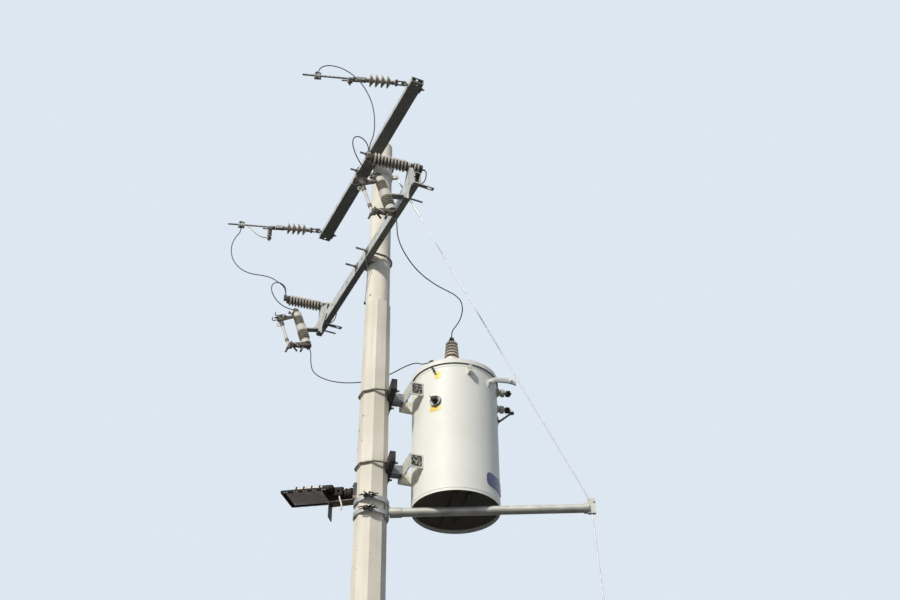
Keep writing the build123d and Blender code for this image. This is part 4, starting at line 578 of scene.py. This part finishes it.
# Fittings of the cutouts: hinge bolts, the stops that catch the dropped tube, the guide
# horns beside the top contact, its spring leaf, and the clamp bolts of both terminals.
horn = ((-0.105, 0.014, 0.118), (-0.13, 0.032, 0.12), (-0.17, 0.036, 0.115), (-0.208, 0.036, 0.108),
        (-0.214, 0.036, 0.13), (-0.198, 0.036, 0.142))
for side in cutout_rows:
    lie = on_cutout(side)
    parts = bmesh.new()
    for way in (-1, 1):
        bolt(parts, lie @ Vector((tube_out, way * 0.0238, -0.1621)), (0, way, 0), 0.022, 0.008)
        bolt(parts, lie @ Vector((0.016, way * 0.021, -0.176)), (0, way, 0), 0.018, 0.012, 0.024, 0.008)
        bar(parts, lie @ Vector((-0.138, way * 0.029, -0.137)), lie @ Vector((-0.187, way * 0.029, -0.196)),
            0.009, 0.016)
        bar(parts, lie @ Vector((-0.112, way * 0.02, -0.146)), lie @ Vector((-0.082, way * 0.034, -0.192)),
            0.01, 0.014)
        bolt(parts, lie @ Vector((-0.118, way * 0.0155, 0.112)), (0, way, 0), 0.016, 0.008, 0.02)
    bar(parts, lie @ Vector((-0.04, 0, -0.17)), lie @ Vector((-0.066, 0, -0.212)), 0.034, 0.014)
    bar(parts, lie @ Vector((-0.135, 0, 0.128)), lie @ Vector((-0.205, 0, 0.112)), 0.022, 0.006)
    bolt(parts, lie @ Vector((-0.06, 0, 0.151)), (-0.34, 0, 0.94), 0.02, 0.012, 0.026, 0.008)
    new_piece(side + "_cutout_fittings", parts, casting)
    bent_wire(side + "_cutout_horns", [[lie @ Vector((x, way * y, z)) for x, y, z in horn] for way in (-1, 1)],
              0.004, casting)


# The earth lead: a bare stranded wire from the lower arm's saddle bolt to a ferrule cast
# into the pole, just round its left side.
earth_grey = weathered("earth_wire_grey", (0.42, 0.41, 0.38), (0.24, 0.235, 0.22), 70, (0.4, 0.6), 0.5, 0.2)
bent_wire("earth_lead", [[
    (-0.155, -0.096, 8.03), (-0.158, -0.1, 7.985), (-0.14, -0.088, 7.955), (-0.118, -0.06, 7.93),
    (-0.104, -0.03, 7.87), (-0.096, 0.0, 7.78), (-0.094, 0.022, 7.7), (-0.09, 0.036, 7.66)]],
    0.003, earth_grey)
ferrule = bmesh.new()
turned(ferrule, [(0.0, 0.0), (0.012, 0.0), (0.012, 0.012), (0.008, 0.016), (0.0, 0.016)],
       aimed((-0.083, 0.036, 7.66), (-0.2, 0.08, 7.66)), 20)
new_piece("earth_ferrule", ferrule, casting)


# The transformer tank: rolled and welded steel, enamelled cream white, with a recessed
# bottom that has kept a dark olive undercoat, two skid bars and a domed cover with a band.
# Every face that looks down is painted that dark olive, as undercoat and as painted shade.
tank_centre = (0.56708, -0.13092)
tank_radius = 0.305


def off_tank(azimuth):
    return Vector((cos(radians(azimuth)), sin(radians(azimuth)), 0))


def on_tank(azimuth, height, out=0.0):
    """A point on the tank's wall, out from it by that much."""
    return Vector((*tank_centre, height)) + off_tank(azimuth) * (tank_radius + out)


enamel = weathered("cream_enamel", (0.87, 0.865, 0.79), (0.835, 0.825, 0.74), 3.5, (0.5, 0.62), bump=0.06)
streaks(enamel, 14, 0.56, 0.8, 0.16, (0.6, 0.56, 0.46))
# Faces that look down are painted dark olive: undercoat, and painted shade.
mix_over(enamel, facing_up(enamel, -0.75, -0.93), (0.075, 0.068, 0.05), 1)
coat(enamel, "tank", "tank_cover", "cover_band")
undercoat = weathered("olive_undercoat", (0.11, 0.1, 0.075), (0.06, 0.054, 0.04), 14, (0.6, 0.85), bump=0.25)
coat(undercoat, "tank_skids")

seam = bmesh.new()
for level in (5.973, 6.952):
    turned(seam, [(tank_radius + out, level + up) for out, up in (
        (-0.001, -0.004), (0.0016, -0.002), (0.0022, 0), (0.0016, 0.002), (-0.001, 0.004))],
        Matrix.Translation((*tank_centre, 0)), 96)
new_piece("tank_weld_beads", seam, enamel)

band_joint_turn = 62
out = off_tank(band_joint_turn)
across = Vector((-out.y, out.x, 0))
spot = on_tank(band_joint_turn, 6.991, 0.011)
band_joint = bmesh.new()
for way in (-1, 1):
    ear = spot + across * way * 0.016
    bar(band_joint, ear - Vector((0, 0, 0.015)), ear + Vector((0, 0, 0.013)), 0.006, 0.02, 0.001)
    bolt(band_joint, spot + across * way * 0.019 + out * 0.001, across * way, 0.016, 0.01)
new_piece("cover_band_bolts", band_joint, bolt_zinc)


# Small fittings on the tank's wall: a relief valve in a round collar, the lever hook of the
# cover's vent above it, and two bare yellow markers of painted foil.
def off_wall(azimuth, height, out=0.0):
    """Z out of the tank's wall."""
    return aimed(on_tank(azimuth, height, out), on_tank(azimuth, height, 0.1))


dark_fitting = weathered("dark_fitting", (0.055, 0.048, 0.04), (0.02, 0.018, 0.016), 60, (0.35, 0.6),
                         bump=0.3, gloss=0.25)
valve_at = off_wall(-141, 6.672)
collar = bmesh.new()
turned(collar, [(0.0, 0.0), (0.042, 0.0), (0.0435, 0.007), (0.041, 0.015), (0.034, 0.016), (0.031, 0.008),
                (0.024, 0.006), (0.0, 0.006)], valve_at, 40)
new_piece("relief_valve_collar", collar, galvanised)
valve = bmesh.new()
turned(valve, [(0.0, 0.006), (0.024, 0.006), (0.024, 0.018), (0.015, 0.022), (0.015, 0.034), (0.018, 0.037),
               (0.018, 0.046), (0.012, 0.05), (0.0, 0.05)], valve_at, 32)
bar(valve, valve_at @ Vector((-0.012, 0.012, 0.03)), valve_at @ Vector((-0.03, 0.03, 0.034)), 0.01, 0.007)
bar(valve, valve_at @ Vector((0.0, -0.012, 0.03)), valve_at @ Vector((0.0, -0.034, 0.033)), 0.012, 0.006)
new_piece("relief_valve", valve, dark_fitting)

hook = bmesh.new()
hook_turn, bend_turn = -144.5, -141.5
bar(hook, on_tank(hook_turn, 6.951, -0.002), on_tank(hook_turn, 6.948, 0.024), 0.013, 0.009)
bar(hook, on_tank(hook_turn, 6.95, 0.02), on_tank(bend_turn, 6.918, 0.028), 0.012, 0.009)
bar(hook, on_tank(bend_turn, 6.92, 0.028), on_tank(-140, 6.908, 0.014), 0.01, 0.008)
new_piece("vent_hook", hook, dark_fitting)

yellow = weathered("yellow_marker", (0.93, 0.68, 0.11), (0.86, 0.6, 0.13), 50, (0.35, 0.5), bump=0.05)
streaks(yellow, 90, 0.55, 0.7, 0.4, (0.88, 0.74, 0.4), (1, 1, 0.5))
markers = bmesh.new()
for first_turn, sweep, low, high in ((-142.5, 9, 6.858, 6.915), (-149.5, 15, 6.592, 6.636)):
    ends = [markers.verts.new(on_tank(first_turn, level, 0.0009)) for level in (low, high)]
    bmesh.ops.spin(markers, geom=ends + [markers.edges.new(ends)], cent=(*tank_centre, 0), axis=(0, 0, 1),
                   angle=radians(sweep), steps=8)
new_piece("yellow_markers", markers, yellow)


# A white painted bracket arm curves out from the wall beside the low voltage bushings, with
# an eye at each end; below it a dark angled stay ends in a cleat.
arm_out = Vector((0.25, 0.968, 0))
arm_stops = ((0.694, -0.413, 6.868, 0.021), (0.712, -0.416, 6.886, 0.022), (0.748, -0.408, 6.914, 0.021),
             (0.79, -0.396, 6.936, 0.02), (0.87, -0.376, 6.966, 0.021), (0.925, -0.362, 6.979, 0.022),
             (0.952, -0.355, 6.972, 0.014))
arm_outline = ((-1, -0.005), (-0.6, -0.008), (0.6, -0.008), (1, -0.005), (1, 0.004), (-1, 0.004))
arm = bmesh.new()
outlines = []
for x, y, z, half in arm_stops:
    ring = [arm.verts.new(Vector((x, y, z + up * half)) + arm_out * out) for up, out in arm_outline]
    outlines.append([arm.edges.new(pair) for pair in zip(ring, ring[1:] + ring[:1])])
for last, outline in zip(outlines, outlines[1:]):
    bmesh.ops.bridge_loops(arm, edges=last + outline)
bmesh.ops.edgeloop_fill(arm, edges=outlines[0] + outlines[-1])
for spot, washer in (((0.706, -0.424, 6.88), 0.03), ((0.9, -0.377, 6.973), 0.032)):
    bolt(arm, spot, (-0.25, -0.968, 0.05), 0.02, 0.009, washer)
new_piece("side_arm", arm, enamel)

stay_turn = -28
stay = bmesh.new()
bar(stay, on_tank(stay_turn, 6.655, -0.004), (0.948, -0.285, 6.765), 0.026, 0.01)
bar(stay, on_tank(stay_turn, 6.64, -0.003), on_tank(stay_turn, 6.7), 0.03, 0.012)
bolt(stay, on_tank(stay_turn, 6.672, 0.004), off_tank(stay_turn), 0.018, 0.01, 0.026)
bar(stay, (0.935, -0.302, 6.752), (0.958, -0.262, 6.772), 0.034, 0.02, 0.004)
new_piece("cable_stay", stay, dark_fitting)


# High voltage bushings: two five-shed porcelains on raised bosses of the cover, and three
# short low voltage bushings on the far side of the wall with tinned spade terminals.
hv_spots = {"front": (0.4596, -0.3171), "rear": (0.4443, 0.0007)}
lowest_shed, hv_pitch, cap_level = 7.092, 0.0268, 7.2346
bushing_glaze = weathered("bushing_glaze", (0.74, 0.63, 0.51), (0.62, 0.52, 0.41), 26, (0.25, 0.4), bump=0.08)
# Painted light: faces that look up are painted paler.
mix_over(bushing_glaze, facing_up(bushing_glaze, 0.1, 0.8), (0.72, 0.65, 0.55), 0.35)
mix_over(bushing_glaze, at_height(bushing_glaze, 7.236, 7.239), (0.06, 0.055, 0.048))
caps = bmesh.new()
for end, spot in hv_spots.items():
    ring_glaze = bushing_glaze.copy()
    ring_glaze.name = end + "_ring_glaze"
    # Painted shade: near the core between the sheds and on their undersides, in dark brown.
    from_core = off_axis(ring_glaze, (*spot, 7.1), (0, 0, 1))
    mix_over(ring_glaze, remap(ring_glaze.node_tree, from_core, 0.0375, 0.031), (0.1, 0.07, 0.05))
    mix_over(ring_glaze, facing_up(ring_glaze, -0.45, -0.9), (0.14, 0.095, 0.065), 0.8)
    coat(ring_glaze, end + "_hv_bushing")
    rings = bmesh.new()
    for shed in range(5):
        wide = 0.0522 - 0.002 * shed
        turned(rings, [(0.0235, -0.0085), (wide - 0.004, -0.009), (wide - 0.0015, -0.0078), (wide, -0.0045),
                       (wide, 0.004), (wide - 0.003, 0.008), (wide - 0.012, 0.0112), (0.0235, 0.0125)],
               Matrix.Translation((*spot, lowest_shed + hv_pitch * shed)), 40)
    new_piece(end + "_bushing_sheds", rings, ring_glaze)
    turned(caps, [(0.0, 0.012), (0.0068, 0.012), (0.0105, 0.01), (0.0105, 0.003), (0.02, 0.002),
                  (0.023, -0.002), (0.021, -0.005), (0.0, -0.005)], Matrix.Translation((*spot, cap_level)), 28)
new_piece("hv_bushing_caps", caps, dark_fitting)

lv_turn = Matrix.Rotation(radians(-13), 4, "Z")
lv_glaze = weathered("lv_glaze", (0.6, 0.57, 0.5), (0.42, 0.39, 0.34), 30, (0.2, 0.4), bump=0.08)
coat(lv_glaze, "lv_bushings")
terminals = bmesh.new()
collars = bmesh.new()
for offset, level in ((-0.1, 6.9), (0.0, 6.825), (0.1, 6.9)):
    wall = (tank_radius**2 - offset**2) ** 0.5
    lie = (Matrix.Translation((*tank_centre, 0)) @ lv_turn @ Matrix.Translation((wall, offset, level))
           @ Matrix.Rotation(radians(90), 4, "Y"))
    turned(collars, [(0.0275, 0.0), (0.034, 0.0), (0.034, 0.008), (0.031, 0.012), (0.0275, 0.012)], lie, 32)
    turned(collars, [(0.0205, 0.03), (0.026, 0.03), (0.029, 0.034), (0.029, 0.05), (0.026, 0.056),
                     (0.0205, 0.057)], lie, 32)
    bar(terminals, lie @ Vector((0, 0, 0.066)), lie @ Vector((0, 0, 0.1)), 0.034, 0.036, 0.004)
    for way in (-1, 1):
        bolt(terminals, lie @ Vector((0, way * 0.018, 0.083)), lv_turn @ Vector((0, way, 0)), 0.018, 0.01,
             0.024, 0.006)
new_piece("lv_bushing_collars", collars, lv_glaze)
new_piece("lv_terminal_clamps", terminals, dark_fitting)


# Lifting lugs and hanging lugs: bent plate welded to the tank and enamelled with it. A thin
# sheet on a cheek of each hanging lug is painted shade: near black, with pale speckles.
fitting_enamel = weathered("fitting_enamel", (0.76, 0.75, 0.67), (0.56, 0.54, 0.47), 26, (0.35, 0.55), bump=0.15)
mix_over(fitting_enamel, specks(fitting_enamel, 0.028, 0.008, 0.3), (0.2, 0.18, 0.15))
coat(fitting_enamel, "lifting_lugs", "upper_tank_lug", "lower_tank_lug")
# Painted shade: a near-black finish with pale speckles, for the thin sheet laid on a lug's cheek.
cheek_shade = weathered("cheek_painted_shade", (0.42, 0.4, 0.34), (0.012, 0.011, 0.01), 85, (0.6, 0.9), bump=0.4,
                 spread=(0.5, 0.6))


def edges_along(shape, axis, least=0.001):
    """The edges whose ends differ in x, y or z."""
    return [e for e in shape.edges if abs((e.verts[0].co - e.verts[1].co)[axis]) > least]


for side, level in (("upper", 6.808), ("lower", 6.218)):
    cheek = bmesh.new()
    bmesh.ops.create_cube(cheek, size=1)
    bmesh.ops.scale(cheek, vec=(0.074, 0.0012, 0.082), verts=cheek.verts)
    break_edges(cheek, edges_along(cheek, 1), 0.008, 4)
    new_piece(side + "_lug_cheek", cheek, cheek_shade, place=Matrix.Translation((*tank_centre, level))
              @ Matrix.Rotation(radians(-5), 4, "Z") @ Matrix.Translation((-0.327, -0.1284, 0)))


# The badge: a dark blue enamelled plate with rounded corners, left bare and bent round the
# wall. Dome-headed rivets hold it at both ends.
badge_turn, badge_sweep, badge_level = -50, 44, 6.09
badge_reach = tank_radius + 0.0006
badge_width, badge_thick, slices = badge_reach * radians(badge_sweep), 0.0032, 24
badge_enamel = weathered("blue_enamel", (0.075, 0.075, 0.215), (0.05, 0.05, 0.16), 30, (0.25, 0.4), bump=0.05)
plate = bmesh.new()
bmesh.ops.create_cube(plate, size=1)
bmesh.ops.scale(plate, vec=(badge_width, 0.1, badge_thick), verts=plate.verts)
break_edges(plate, edges_along(plate, 2), 0.034, 8)
for step in range(1, slices):
    bmesh.ops.bisect_plane(plate, geom=plate.verts[:] + plate.edges[:] + plate.faces[:],
                           plane_co=(badge_width * (step / slices - 0.5), 0, 0), plane_no=(1, 0, 0))
for vert in plate.verts:
    turn = radians(badge_turn) + vert.co.x / badge_reach
    reach = badge_reach + vert.co.z + badge_thick / 2
    vert.co = (tank_centre[0] + reach * cos(turn), tank_centre[1] + reach * sin(turn), badge_level + vert.co.y)
new_piece("badge", plate, badge_enamel, stands_for=("badge_plate",))
rivets = bmesh.new()
for turn in (-68, -32):
    turned(rivets, [(0.0, 0.003), (0.0028, 0.0024), (0.0042, 0.001), (0.0045, 0.0)],
           off_wall(turn, badge_level, 0.0034), 16)
new_piece("badge_rivets", rivets, bolt_zinc)


# Hangers: crossbar, spacer and a bent-rod strap round the pole, bolted to the tank's lugs.
# The bars are painted near black as painted shade, and the spacers are a blue-grey casting.
# Painted shade: the bars are coloured near black.
shaded_bar = weathered("bar_painted_shade", (0.06, 0.056, 0.05), (0.02, 0.019, 0.017), 30, (0.5, 0.75), 0.05, 0.3,
                      gloss=0.25)
coat(shaded_bar, "upper_hanger_bar", "lower_hanger_bar")
spacer_grey = weathered("spacer_grey", (0.3, 0.32, 0.33), (0.17, 0.185, 0.19), 30, (0.45, 0.65), 0.4, 0.25)
coat(spacer_grey, "upper_spacer", "lower_spacer")
strap_zinc = weathered("strap_zinc", (0.42, 0.39, 0.33), (0.22, 0.2, 0.165), 30, (0.45, 0.65), 0.5, 0.25)
coat(strap_zinc, "upper_pole_strap", "lower_pole_strap")


# The strut: a 60 mm galvanised pipe in a sleeve on a curved foot, held by two bands drawn
# together on the pole's front, with a cheeked end fitting over which the guy bends. Twists
# of black binding wire stick out over the bands' joints.
pipe_zinc = weathered("pipe_zinc", (0.6, 0.585, 0.52), (0.46, 0.445, 0.39), 12, (0.4, 0.6), 0.3, 0.2)
mix_over(pipe_zinc, specks(pipe_zinc, 0.05, 0.012, 0.25), (0.38, 0.34, 0.27))
coat(pipe_zinc, "strut_pipe", "strut_foot", "strut_end_fitting")
band_zinc = weathered("band_zinc", (0.6, 0.585, 0.6), (0.44, 0.43, 0.44), 20, (0.4, 0.6), 0.2, 0.2)
coat(band_zinc, "strut_bands")
top_band_zinc = weathered("top_band_zinc", (0.74, 0.69, 0.58), (0.6, 0.56, 0.46), 20, (0.6, 0.8), 0.0, 0.25)
coat(top_band_zinc, "guy_band")
tie_wire = weathered("tie_wire", (0.05, 0.045, 0.04), (0.018, 0.016, 0.014), 80, (0.55, 0.75), gloss=0.2)
joint_out = Vector((cos(radians(-119)), sin(radians(-119)), 0))
joint_along = Vector((-joint_out.y, joint_out.x, 0))
upper_band, lower_band = 5.94, 5.85
twists = (  # each wire's points, in mm along the band, up and out
    ((-64, 10, 4), (-40, 2, 16), (-18, 12, 22), (2, -4, 12)),
    ((-48, 26, 10), (-40, 8, 18), (-16, -10, 22), (10, 2, 10)),
    ((-30, 46, 14), (-26, 22, 24), (-4, 12, 20), (4, -2, 10)),
    ((-14, 30, 26), (-20, 14, 30), (2, 4, 26), (10, -6, 12)),
    ((12, 40, 10), (-2, 26, 20), (12, 10, 26), (0, -4, 12)),
    ((34, 18, 16), (16, 28, 24), (6, 6, 22), (-6, -6, 12)),
    ((66, 20, 6), (44, 22, 16), (22, 4, 20), (2, 0, 10)),
    ((58, -4, 6), (34, 2, 20), (12, -8, 20), (-6, 2, 12)),
    ((-26, -22, 8), (-10, -20, 18), (8, -4, 24), (2, 4, 12)),
    ((30, -20, 10), (8, -14, 22), (-10, 6, 24), (-26, 0, 12)),
)
knots = []
for level, flip in ((upper_band - 0.004, 1), (lower_band - 0.012, -1)):
    middle = joint_out * 0.128 + Vector((0, 0, level))
    for twist in twists:
        knots.append([middle + (joint_along * flip * along + joint_out * out
                                + Vector((0, 0, up * 0.62 + flip * along % 7))) / 1000
                      for along, up, out in twist])
bent_wire("band_tie_wires", knots, 0.004, tie_wire)
joint_bolts = bmesh.new()
for level in (upper_band, lower_band):
    for way, stem in ((1, 0.012), (-1, 0.0)):
        bolt(joint_bolts, joint_out * 0.132 + joint_along * way * 0.021 + Vector((0, 0, level)),
             joint_along * way, 0.02, 0.011, 0.026, stem)
new_piece("band_joint_bolts", joint_bolts, bolt_zinc)


# The guy: a seven-wire steel strand from the top of the pole over the strut's end to the
# anchor rod, with preformed grips wrapped at its eyes.
strand = weathered("guy_strand", (0.8, 0.82, 0.82), (0.62, 0.635, 0.63), 40, (0.35, 0.5), 0.35, 0.1)
# Painted shade in the grooves between the strand's wires.
shade_wire_grooves(strand, 75, 0.45, 0.05, 0.4, (0.34, 0.335, 0.33))
coat(strand, "guy_upper", "guy_lower")
anchor_zinc = weathered("anchor_zinc", (0.4, 0.37, 0.32), (0.2, 0.18, 0.15), 30, (0.5, 0.75), 0.5, 0.3)
coat(anchor_zinc, "anchor_rod")


# The street lamp: a die-cast black-brown housing on a square beam, bolted to the pole on a
# plate with a tray below it. Cooling fins on top, and a grey glass with a screwed frame.
lamp_out = Vector((cos(radians(143)), sin(radians(143)), 0))
beam_level = 6.04
lamp_lie = (Matrix.Translation(lamp_out * 0.25 + Vector((0, 0, 6.038))) @ Matrix.Rotation(radians(137.5), 4, "Z")
            @ Matrix.Rotation(radians(-5.4), 4, "Y") @ Matrix.Rotation(radians(1.8), 4, "X")
            @ Matrix.Translation((0, 0.008, 0)) @ Matrix.Scale(1.17, 4, (1, 0, 0)))
lamp_brown = weathered("lamp_brown", (0.24, 0.17, 0.12), (0.11, 0.085, 0.065), 25, (0.5, 0.75), 0.2, 0.3)
mix_over(lamp_brown, at_height(lamp_brown, 6.0, 6.006), (0.022, 0.018, 0.016))
along_beam = along_axis(lamp_brown, (0, 0, 0), lamp_out)
mix_over(lamp_brown, remap(lamp_brown.node_tree, along_beam, 0.272, 0.276), (0.025, 0.021, 0.019))
coat(lamp_brown, "lamp_arm")


def slab(shape, size, at, corner, edge=0.0015):
    """A plate with rounded corners and broken edges."""
    part = bmesh.new()
    bmesh.ops.create_cube(part, size=1)
    bmesh.ops.scale(part, vec=size, verts=part.verts)
    break_edges(part, edges_along(part, 2, size[2] * 0.5), corner, 5)
    rim = [e for e in part.edges if abs((e.verts[0].co - e.verts[1].co).z) < 1e-6 and len(e.link_faces) == 2
           and e.calc_face_angle(0) > 0.7]
    break_edges(part, rim, edge)
    bmesh.ops.translate(part, vec=at, verts=part.verts)
    add_to(shape, part)


lamp_black = weathered("lamp_black", (0.03, 0.026, 0.023), (0.012, 0.011, 0.01), 40, (0.5, 0.7), bump=0.3,
                       gloss=0.15)
frame_side = 0.098
housing = bmesh.new()
slab(housing, (0.311, 0.208, 0.012), (0.1555, 0, 0.008), 0.008, 0.003)
for across in (-frame_side, frame_side):
    slab(housing, (0.305, 0.011, 0.007), (0.1555, across, 0.0005), 0.002)
for along in (0.006, 0.03, 0.305):
    slab(housing, (0.011, 0.19, 0.007), (along, 0, 0.0005), 0.002)
slab(housing, (0.075, 0.15, 0.034), (0.034, 0, 0.03), 0.01, 0.004)
slab(housing, (0.07, 0.078, 0.066), (-0.022, 0, 0.014), 0.008, 0.004)
for along in (0.075, 0.125, 0.175, 0.222):
    slab(housing, (0.009, 0.164, 0.033), (along, 0, 0.03), 0.002)
for across in (-0.045, -0.015, 0.015, 0.045):
    slab(housing, (0.16, 0.005, 0.014), (0.145, across, 0.048), 0.001)
for way in (1, -1):
    bolt(housing, (-0.03, way * 0.039, 0.02), (0, way, 0), 0.016, 0.008, 0.02)
new_piece("lamp_casting", housing, lamp_black, place=lamp_lie, stands_for=("lamp_housing",))

gear_grey = weathered("gear_cover_grey", (0.5, 0.46, 0.42), (0.33, 0.3, 0.27), 40, (0.45, 0.65), 0.3, 0.2)
gear = bmesh.new()
slab(gear, (0.172, 0.158, 0.029), (0.142, 0, 0.0285), 0.008, 0.005)
new_piece("lamp_gear_cover", gear, gear_grey, place=lamp_lie)

screw_zinc = weathered("screw_zinc", (0.85, 0.8, 0.72), (0.6, 0.55, 0.48), 60, (0.3, 0.5), 0.1, 0.1)
screws = bmesh.new()
for across in (-frame_side, frame_side):
    for along in (0.03, 0.046, 0.088, 0.104, 0.146, 0.162, 0.204, 0.22, 0.268, 0.284):
        turned(screws, [(0.0, -0.0068), (0.0036, -0.0064), (0.0056, -0.0046), (0.0058, -0.003), (0.0, -0.003)],
               Matrix.Translation((along, across, 0)), 14)
new_piece("lamp_screws", screws, screw_zinc, place=lamp_lie)

lens_grey = weathered("lens_grey", (0.66, 0.6, 0.59), (0.52, 0.47, 0.46), 18, (0.14, 0.26), bump=0.05)
glass = bmesh.new()
slab(glass, (0.226, 0.16, 0.004), (0.168, 0.004, -0.0005), 0.006, 0.001)
new_piece("lamp_glass", glass, lens_grey, place=lamp_lie, stands_for=("lamp_lens",))
strip_grey = weathered("lens_strip", (0.72, 0.69, 0.67), (0.56, 0.53, 0.52), 50, (0.15, 0.3), bump=0.05)
strip = bmesh.new()
slab(strip, (0.02, 0.158, 0.0014), (0.067, 0.004, -0.0029), 0.003, 0.0004)
new_piece("lamp_glass_strip", strip, strip_grey, place=lamp_lie)

knuckle = bmesh.new()
turned(knuckle, [(0.02, 0.0), (0.043, 0.0), (0.046, 0.004), (0.046, 0.018), (0.042, 0.022), (0.042, 0.036),
                 (0.046, 0.04), (0.046, 0.05), (0.042, 0.055), (0.02, 0.056)],
       aimed(lamp_out * 0.125 + Vector((0, 0, beam_level)), lamp_out * 0.2 + Vector((0, 0, beam_level))), 36)
new_piece("lamp_knuckle", knuckle, lamp_black)

tie_white = weathered("white_tie", (0.86, 0.82, 0.76), (0.7, 0.66, 0.6), 60, (0.5, 0.7), bump=0.1)
beam_side = Vector((-lamp_out.y, lamp_out.x, 0))
tie_runs = (  # in metres along the beam, up and out from its side
    ((0.045, 0.016, 0), (0.02, 0.022, 0.004), (-0.01, 0.02, 0.003), (-0.045, 0.024, 0)),
    ((0.03, 0.03, -0.004), (0, 0.028, 0.003), (-0.03, 0.031, 0)),
    ((0, 0.024, 0.002), (-0.004, -0.01, 0.006), (-0.006, -0.04, 0.008), (-0.018, -0.075, 0.01),
     (-0.026, -0.105, 0.008), (-0.02, -0.13, 0.006)),
)
bent_wire("lamp_beam_tie", [
    [lamp_out * (0.215 + along) + beam_side * (0.033 + out) + Vector((0, 0, beam_level + up))
     for along, up, out in run] for run in tie_runs], 0.0055, tie_white)
